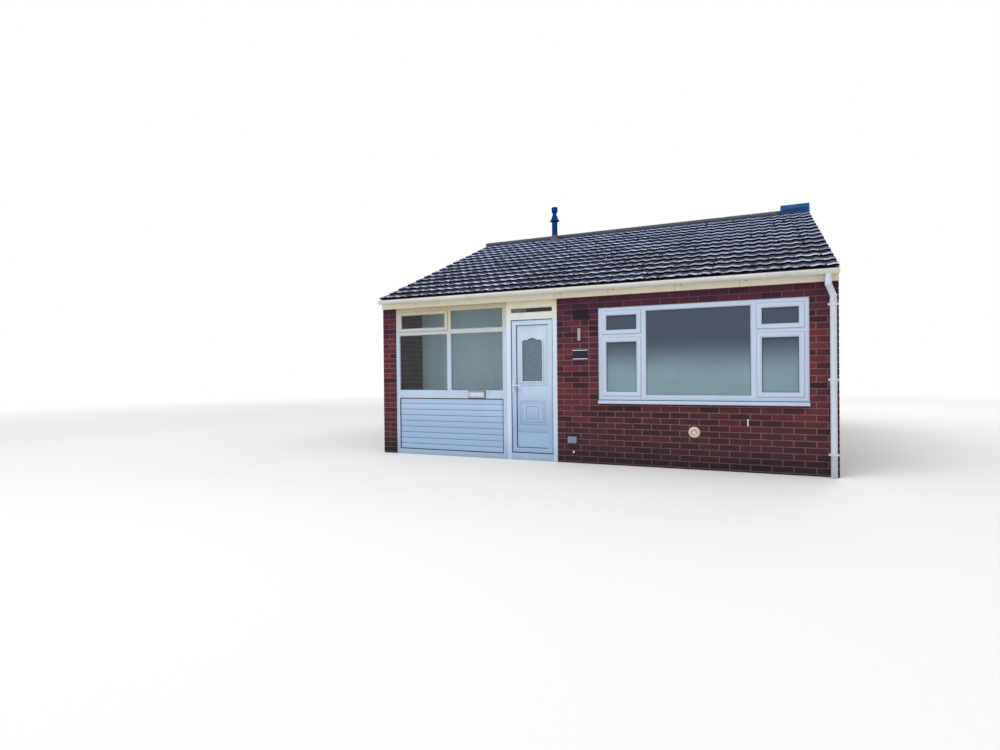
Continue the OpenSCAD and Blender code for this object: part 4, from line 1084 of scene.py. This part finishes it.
def glaze(beads, gaskets, light, sash, stile, gasket):
    """The bead and the rubber gasket round one pane, and the seal behind a sash's flange."""
    if sash:
        ring(gaskets, grown(light, 0.0095), 0.012, FRAME_Y - 0.0022, FRAME_Y - 0.0003)
        light = grown(light, BEAD_LAP - stile)
        ring(beads, light, SASH_BEAD, FRAME_Y - 0.0055, GLASS_Y, 0.005)
    else:
        ring(beads, grown(light, -0.0002), FIXED_BEAD, FRAME_Y + 0.004, GLASS_Y, 0.004)
    inset = (SASH_BEAD if sash else FIXED_BEAD) - 0.002
    ring(gaskets, grown(light, -inset), gasket, GLASS_Y - 0.0025, GLASS_Y - 0.0001, 0.0008)


class OBJECT_OT_bungalow_windows(bpy.types.Operator):
    """Rounds the frames and sashes of all windows and glazes them"""
    bl_idname = "object.bungalow_windows"
    bl_label = "Windows"

    def execute(self, context):
        j, gasket = context.scene.joinery, context.scene.glazing.gasket
        for node, bevel in (("front_window_frame", 0.0035), ("front_window_sashes", 0.0045),
                            ("rear_window_frames", 0.0035), ("rear_window_sashes", 0.0045),
                            ("front_window_sill", 0.003), ("rear_window_sills", 0.003)):
            dressed(node, "white", "white_plastic", bevel)
        for side, windows in (("front", [(WINDOW, True)]), ("rear", [(WIDE, True), (SMALL, False)])):
            beads, gaskets = bmesh.new(), bmesh.new()
            for rect, wide in windows:
                for light, sash in window_lights(j, rect, wide):
                    glaze(beads, gaskets, light, sash, j.stile, gasket)
            for name, bm, material in (("_glazing_beads", beads, "white"), ("_gaskets", gaskets, "gasket")):
                if side == "rear":
                    to_rear(bm)
                piece(side + name, bm, material, "white_plastic", normals=False)
            finish_node(side + "_window_glass", "dark_glass")
        return {"FINISHED"}


class OBJECT_OT_bungalow_porch(bpy.types.Operator):
    """Dresses the porch screen: frame, panes, boarded panel and letter plate"""
    bl_idname = "object.bungalow_porch"
    bl_label = "Porch screen"

    def execute(self, context):
        j, gasket = context.scene.joinery, context.scene.glazing.gasket
        x0, x1 = outline(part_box("screen_frame"))[:2]
        wide = (x1 - x0 - 3 * j.screen_bar) / 2
        left = (x0 + j.screen_bar, x0 + j.screen_bar + wide)
        right = (left[1] + j.screen_bar, left[1] + j.screen_bar + wide)
        upper, lower = (1.879, 2.163), (0.972, 1.821)
        dressed("screen_frame", "screen", "white_plastic", 0.003)
        dressed("screen_fanlight", "screen", "white_plastic", 0.004)
        boards = dressed("screen_panel", ("panel", "board_groove"), "white_plastic", 0.0015, 1)
        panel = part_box("screen_panel")
        shade_grooves(boards, lambda f: panel[0].y + 0.0045 < f.center.y < panel[1].y - 0.002)
        beads, gaskets = bmesh.new(), bmesh.new()
        for light in ((*left, *upper), (*right, *upper), (*left, *lower), (*right, *lower)):
            glaze(beads, gaskets, light, light == (*left, *upper), j.screen_stile, gasket)
        ring(gaskets, grown(outline(panel), -0.0002), 0.013, panel[0].y - 0.004, panel[0].y + 0.003, 0.001)
        piece("screen_glazing_beads", beads, "screen", "white_plastic", normals=False)
        piece("screen_gaskets", gaskets, "gasket", "white_plastic", normals=False)
        finish_node("screen_glass", "clear_glass")
        dressed("letter_plate", "handle", "pale_metal", 0.0015)
        plate = outline(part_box("letter_plate"))
        # A dark strip round the letter plate, wider at its right and top, paints the plate's shadow.
        seal = bmesh.new()
        soft_box(seal, (plate[0] - 0.008, FRAME_Y - 0.006, plate[2] - 0.009),
                 (plate[1] + 0.016, FRAME_Y - 0.0002, plate[3] + 0.012), 0.001, 1)
        piece("letter_plate_seal", seal, "gasket", "white_plastic")
        dressed("letter_flap", "handle", "pale_metal", 0.001, body=FLAP)
        return {"FINISHED"}


class OBJECT_OT_bungalow_door(bpy.types.Operator):
    """Dresses the front door, its frame, glass, threshold, hinges and handle"""
    bl_idname = "object.bungalow_door"
    bl_label = "Front door"

    def execute(self, context):
        dressed("door_frame", "door_frame", "white_plastic", 0.003)
        dressed("door_threshold", "screen", "aluminium", 0.002)
        dressed("door_hinges", "steel", "steel", 0.0006, 1)
        leaf = dressed("front_door", ("panel", "groove"), "white_plastic", 0.0012, body=DOOR)
        face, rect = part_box("front_door")[0].y, outline(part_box("front_door"))
        shade_grooves(leaf, lambda f: abs(f.normal.y) < 0.6 and f.center.y < face + 0.024
                      and within(f.center.x, f.center.z, grown(rect, -0.03)))
        x0, x1, z0, z1 = grown(rect, -0.0853)
        self.seal("door_panel_gasket", (x0, x1, z0 + 0.003, z1), 0.007, face + 0.009, face + 0.0158, 0.001,
                  DOOR)
        dressed("handle_plates", "handle", "pale_metal", 0.002, body=DOOR)
        dressed("lever_handle", "handle", "pale_metal", 0.004, 3, body=LEVER)
        finish_node("front_door_glass", "obscured")
        x0, x1 = grown(outline(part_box("door_frame")), -0.066)[:2]
        self.seal("door_stop_gasket", (x0 - 0.008, x1 + 0.008, 0.092, 1.980), 0.0155, FRAME_Y + 0.0105,
                  FRAME_Y + 0.0135, 0.0008, HOUSE)
        beads, gaskets = bmesh.new(), bmesh.new()
        glaze(beads, gaskets, (x0, x1, 2.066, 2.139), False, 0.0, context.scene.glazing.gasket)
        piece("top_light_beads", beads, "door_frame", "white_plastic", normals=False)
        piece("top_light_gasket", gaskets, "gasket", "white_plastic", normals=False)
        self.light_gasket()
        return {"FINISHED"}

    def seal(self, name, rect, width, y0, y1, bevel, body):
        """A rectangular rubber seal."""
        bm = bmesh.new()
        ring(bm, rect, width, y0, y1, bevel)
        piece(name, bm, "gasket", "white_plastic", body, normals=False)

    def light_gasket(self):
        """A rubber ring that follows the lobed outline of the door's glass."""
        glass = dressed_mesh("front_door_glass")
        bm = bmesh.new()
        for f in glass.faces:
            if f.normal.y < -0.9:
                bm.faces.new([bm.verts.new(v.co) for v in f.verts])
        glass.free()
        bmesh.ops.remove_doubles(bm, verts=bm.verts, dist=1e-5)
        rim = set(bmesh.ops.inset_region(bm, faces=bm.faces[:], thickness=0.006, use_even_offset=True,
                                         use_boundary=True)["faces"])
        bmesh.ops.delete(bm, geom=[f for f in bm.faces if f not in rim], context="FACES")
        bmesh.ops.translate(bm, verts=bm.verts, vec=(0, -0.0026, 0))
        thicken(bm, bm.faces[:], (0, 0.0024, 0))
        piece("door_light_gasket", bm, "gasket", "white_plastic", DOOR)


# Eaves and fittings

FASCIA_JOINTS = (-0.254, 0.463, 1.296, 2.029)
SCREW_X, SCREW_Z = 0.071, 2.306  # the screws' distance from a joint and their height
PIPE_X, PIPE_Y = 2.988, -4.319
SOCKETS = (1.990, 1.080)


class OBJECT_OT_bungalow_eaves(bpy.types.Operator):
    """Dresses the fascias, gutters and downpipes"""
    bl_idname = "object.bungalow_eaves"
    bl_label = "Eaves and rainwater goods"

    def execute(self, context):
        for side in ("front", "rear"):
            dressed(side + "_fascia", "cream", "cream_plastic", 0.004)
            dressed(side + "_gutter", "gutter", "white_plastic", 0.0006, 1)
            dressed(side + "_downpipe", "pipe", "white_plastic", 0.0008, 1)
        dressed("porch_head", "cream", "cream_plastic", 0.003)
        self.fascia_joints()
        self.sockets()
        return {"FINISHED"}

    def fascia_joints(self):
        """Cover strips and dirty joints where the lengths of fascia board meet, with their screws."""
        covers, joints = bmesh.new(), bmesh.new()
        wide, gap = 0.022, 0.002
        for x in FASCIA_JOINTS:
            for bm, x0, x1, out, bevel in ((covers, x + gap, x + wide, 0.0016, 0.0006),
                                           (joints, x - 0.0015, x + gap, 0.0012, 0.0004)):
                soft_box(bm, (x0, FASCIA_FACE - out, FASCIA_Z + 0.001),
                         (x1, FASCIA_FACE - 0.0001, FASCIA_TOP - 0.001), bevel, 1)
            screw = (Matrix.Translation((x + SCREW_X, FASCIA_FACE - 0.0021, SCREW_Z))
                     @ Matrix.Rotation(math.pi / 2, 4, "X"))
            head = bmesh.ops.create_cone(joints, cap_ends=True, segments=16, radius1=0.0085, radius2=0.006,
                                         depth=0.004, matrix=screw)
            round_edges(joints, edges_of(head["verts"]), 0.0006, 1)
        both_fronts("cream_plastic", ("fascia_covers", covers, "cream"),
                    ("fascia_joints", joints, "dirty_joint"))

    def sockets(self):
        """Rolled sockets where the lengths of downpipe join."""
        bm = bmesh.new()
        for z in SOCKETS:
            socket = bmesh.new()
            lathe(socket, ((0.0342, -0.030), (0.0368, -0.028), (0.0368, 0.022), (0.0382, 0.026),
                           (0.0382, 0.033), (0.0342, 0.035)), 32)
            merge_into(bm, socket, Matrix.Translation((PIPE_X, PIPE_Y, z)))
        both_fronts("white_plastic", ("pipe_sockets", bm, "pipe"), smooth=40)


# Blocks of each fitting: x0, x1, z0, z1, how far its face and its back stand out, rounding and its steps
BLOCKS = {
    "bell_push": ("bell", ((0.049, 0.089, 1.650, 1.816, 0.024, 0.0, 0.006, 3),
                           (0.059, 0.079, 1.700, 1.730, 0.0236, 0.020, 0.002, 2))),
    "wall_clips": ("gutter", ((2.1065, 2.1135, 0.561, 0.639, 0.011, 0.0, 0.002, 2),
                              (-0.028, -0.006, 0.134, 0.164, 0.010, 0.0, 0.002, 2))),
    "bare_plaque": ("plaque", ((-0.024, 0.182, 1.401, 1.527, 0.005, 0.0, 0.0022, 2),)),
    "plaque_rim": ("handle", ((-0.022, 0.180, 1.401, 1.411, 0.008, 0.004, 0.0015, 2),
                              (-0.022, 0.180, 1.517, 1.527, 0.008, 0.004, 0.0015, 2))),
    "grey_box": ("grey_plastic", ((-0.091, 0.031, 0.269, 0.357, 0.046, 0.0, 0.005, 3),
                                  (-0.088, 0.028, 0.272, 0.354, 0.060, 0.048, 0.0055, 3))),
}
CAP = (1.508, 0.464)  # X and Z of the round vent cap's centre
CAP_PROFILE = ((0.0, 0.0), (0.068, 0.0), (0.068, 0.008), (0.064, 0.012), (0.053, 0.013), (0.052, 0.034),
               (0.048, 0.038), (0.040, 0.036), (0.036, 0.030), (0.020, 0.029), (0.0, 0.031))
AIR_BRICK = (-0.0175, 0.1975, 1.9298, 2.0722)


class OBJECT_OT_bungalow_fittings(bpy.types.Operator):
    """Makes the small fittings on the brick panel"""
    bl_idname = "object.bungalow_fittings"
    bl_label = "Fittings"

    def execute(self, context):
        y = FRONT - 0.0003
        for name, (material, blocks) in BLOCKS.items():
            bm = bmesh.new()
            if name == "wall_clips":
                ring(bm, (2.103, 2.117, 0.5575, 0.6425), 0.004, y - 0.012, y, 0.001)
            for x0, x1, z0, z1, face, back, bevel, steps in blocks:
                soft_box(bm, (x0, y - face, z0), (x1, y - back, z1), bevel, steps)
            piece(name, bm, material, "fitting_plastic",
                  replaced=("wall_fittings",) if name == "bell_push" else ())
        self.vent_cap(y)
        self.air_brick(y)
        return {"FINISHED"}

    def vent_cap(self, y):
        """A round cap with a raised middle, darker in its rings, which paints their shade."""
        bm = bmesh.new()
        lathe(bm, [(r, -h) for r, h in CAP_PROFILE], 40, closed=False)
        move(bm, Matrix.Translation((CAP[0], y, CAP[1])) @ Matrix.Rotation(-math.pi / 2, 4, "X"))
        cap = piece("vent_cap", bm, ("cap", "cap_ring"), "fitting_plastic", smooth=35)

        def in_ring(f):
            r = math.hypot(f.center.x - CAP[0], f.center.z - CAP[1])
            return 0.0205 < r < 0.0395 or 0.0525 < r < 0.0535

        shade_grooves(cap, in_ring)

    def air_brick(self, y):
        """A dark plate with two rows of six holes, closed behind."""
        x0, x1, z0, z1 = AIR_BRICK
        holes = [(x0 + 0.012 + 0.0335 * i, x0 + 0.034 + 0.0335 * i, z, z + 0.044)
                 for i in range(6) for z in (z0 + 0.018, z0 + 0.080)]
        bm = bmesh.new()
        merge_into(bm, holed_panel(AIR_BRICK, holes, y - 0.006, y))
        soft_box(bm, (x0 + 0.004, y - 0.0015, z0 + 0.004), (x1 - 0.004, y, z1 - 0.004), 0.0005, 1)
        piece("air_brick", bm, "air_brick", "fitting_plastic")


class OBJECT_OT_bungalow_inside(bpy.types.Operator):
    """Finishes the floor, ceiling, roof boards and the wall behind the porch"""
    bl_idname = "object.bungalow_inside"
    bl_label = "Inside faces"

    def execute(self, context):
        for node, material in (("floor_slab", "concrete"), ("ceiling", "plaster"),
                               ("front_roof_boards", "timber"), ("rear_roof_boards", "timber"),
                               ("porch_back_wall", "porch_paint")):
            finish_node(node, material)
        return {"FINISHED"}


# Studio

LAMPS = (("key", (-3.0, -13.0, 14.5), 1.0), ("back", (6.0, 13.0, 14.0), 0.8))  # place, and share of the power
AIM = Vector((0, 0, 1.5))


def seen_directly(tree):
    """1 for what the camera sees, also by mirroring or through glass, and 0 for what only lights."""
    rays = add(tree, "LightPath").outputs
    seen = math_node(tree, "ADD", rays["Is Camera Ray"], rays["Is Glossy Ray"], True)
    return math_node(tree, "ADD", seen, rays["Is Transmission Ray"], True)


class OBJECT_OT_bungalow_stage(bpy.types.Operator):
    """Sets up the pale round floor, the soft light and the camera"""
    bl_idname = "object.bungalow_stage"
    bl_label = "Studio"

    def execute(self, context):
        s = context.scene.studio
        self.floor(s)
        self.light(context.scene, s)
        self.camera(context.scene, s)
        context.scene.view_settings.view_transform = "Standard"
        return {"FINISHED"}

    def floor(self, s):
        """A round floor that curves up at its rim and fades into the white surroundings."""
        bm = bmesh.new()
        arc = [k / 8 * math.pi / 2 for k in range(1, 9)]
        lathe(bm, [(0.0, -0.002), (s.floor_r * 0.8, -0.002)]
              + [(s.floor_r * (0.8 + 0.2 * math.sin(a)), s.floor_r * 0.2 * (1 - math.cos(a))) for a in arc],
              96, closed=False)
        bmesh.ops.recalc_face_normals(bm, faces=bm.faces)
        bmesh.ops.reverse_faces(bm, faces=[f for f in bm.faces if f.normal.z < 0])
        mesh = bpy.data.meshes.new("studio_sweep")
        bm.to_mesh(mesh)
        bm.free()
        mesh.shade_smooth()
        mesh.materials.append(self.floor_material())
        obj = bpy.data.objects.new("studio_sweep", mesh)
        bpy.context.scene.collection.objects.link(obj)

    def floor_material(self):
        material = surface("studio_floor", tone(226, 226, 224), 0.9)
        tree = material.node_tree
        spot = add(tree, "SeparateXYZ", Vector=add(tree, "TexCoord").outputs["Object"]).outputs
        reach = math_node(tree, "SQRT", math_node(tree, "ADD", math_node(tree, "POWER", spot["X"], 2.0),
                                                  math_node(tree, "POWER", spot["Y"], 2.0)))
        far = soft_range(tree, reach, 7.5, 26.0)
        white = add(tree, "Emission", Color=(1, 1, 1, 1), Strength=1.0).outputs[0]
        blend = add(tree, "MixShader", i0=math_node(tree, "MULTIPLY", far, seen_directly(tree)),
                    i1=tree.nodes["Principled BSDF"].outputs[0], i2=white).outputs[0]
        tree.links.new(blend, tree.nodes["Material Output"].inputs["Surface"])
        return material

    def light(self, scene, s):
        """White surroundings, seen as pure white, and two large soft lamps."""
        world = bpy.data.worlds.new("studio_daylight")
        scene.world = world
        world.use_nodes = True
        tree = world.node_tree
        back = tree.nodes["Background"]
        put(tree, (1.0, 1.0, 1.0), back.inputs["Color"])
        put(tree, value_range(tree, seen_directly(tree), 0.0, 1.0, s.daylight, 1.0), back.inputs["Strength"])
        for name, place, share in LAMPS:
            lamp = bpy.data.lights.new(name + "_lamp", "AREA")
            lamp.shape = "DISK"
            lamp.size = s.lamp
            lamp.energy = s.key * share
            obj = bpy.data.objects.new(name + "_lamp", lamp)
            obj.location = place
            obj.rotation_mode = "QUATERNION"
            obj.rotation_quaternion = (AIM - Vector(place)).to_track_quat("-Z", "Y")
            scene.collection.objects.link(obj)

    def camera(self, scene, s):
        """A camera with an upright, shifted picture, like the one that took the reference view."""
        yaw, pitch, roll = s.turn
        turn = Matrix.Rotation(yaw, 3, "Z") @ Matrix.Rotation(pitch, 3, "X") @ Matrix.Rotation(-roll, 3, "Y")
        right, forward, up = turn.transposed()
        data = bpy.data.cameras.new("photo_camera")
        data.sensor_fit = "HORIZONTAL"
        data.sensor_width = 36.0
        data.lens = s.lens
        data.shift_x, data.shift_y = s.shift
        data.clip_end = 400.0
        obj = bpy.data.objects.new("photo_camera", data)
        obj.matrix_world = Matrix((right, up, -forward)).transposed().to_4x4()
        obj.location = s.place
        scene.collection.objects.link(obj)
        scene.camera = obj


OPERATORS = (OBJECT_OT_bungalow_brickwork, OBJECT_OT_bungalow_roof, OBJECT_OT_bungalow_windows,
             OBJECT_OT_bungalow_porch, OBJECT_OT_bungalow_door, OBJECT_OT_bungalow_eaves,
             OBJECT_OT_bungalow_fittings, OBJECT_OT_bungalow_inside, OBJECT_OT_bungalow_stage)


class VIEW3D_PT_bungalow(bpy.types.Panel):
    """Builds the bungalow's pieces one by one"""
    bl_label = "Bungalow"
    bl_idname = "VIEW3D_PT_bungalow"
    bl_space_type = "VIEW_3D"
    bl_region_type = "UI"
    bl_category = "Bungalow"

    def draw(self, context):
        for settings in SETTINGS:
            block = self.layout.box()
            group = getattr(context.scene, settings)
            for key in group.__annotations__:
                block.prop(group, key)
        for operator in OPERATORS:
            self.layout.operator(operator.bl_idname)


CLASSES = (*SETTINGS.values(), *OPERATORS, VIEW3D_PT_bungalow)


def register():
    for cls in CLASSES:
        bpy.utils.register_class(cls)
    for name, cls in SETTINGS.items():
        setattr(bpy.types.Scene, name, PointerProperty(type=cls))


def unregister():
    for name in SETTINGS:
        delattr(bpy.types.Scene, name)
    for cls in reversed(CLASSES):
        bpy.utils.unregister_class(cls)


def main():
    register()
    build_materials(bpy.context.scene)
    for operator in OPERATORS:
        getattr(bpy.ops.object, operator.bl_idname.split(".")[1])()


if __name__ == "__main__":
    main()
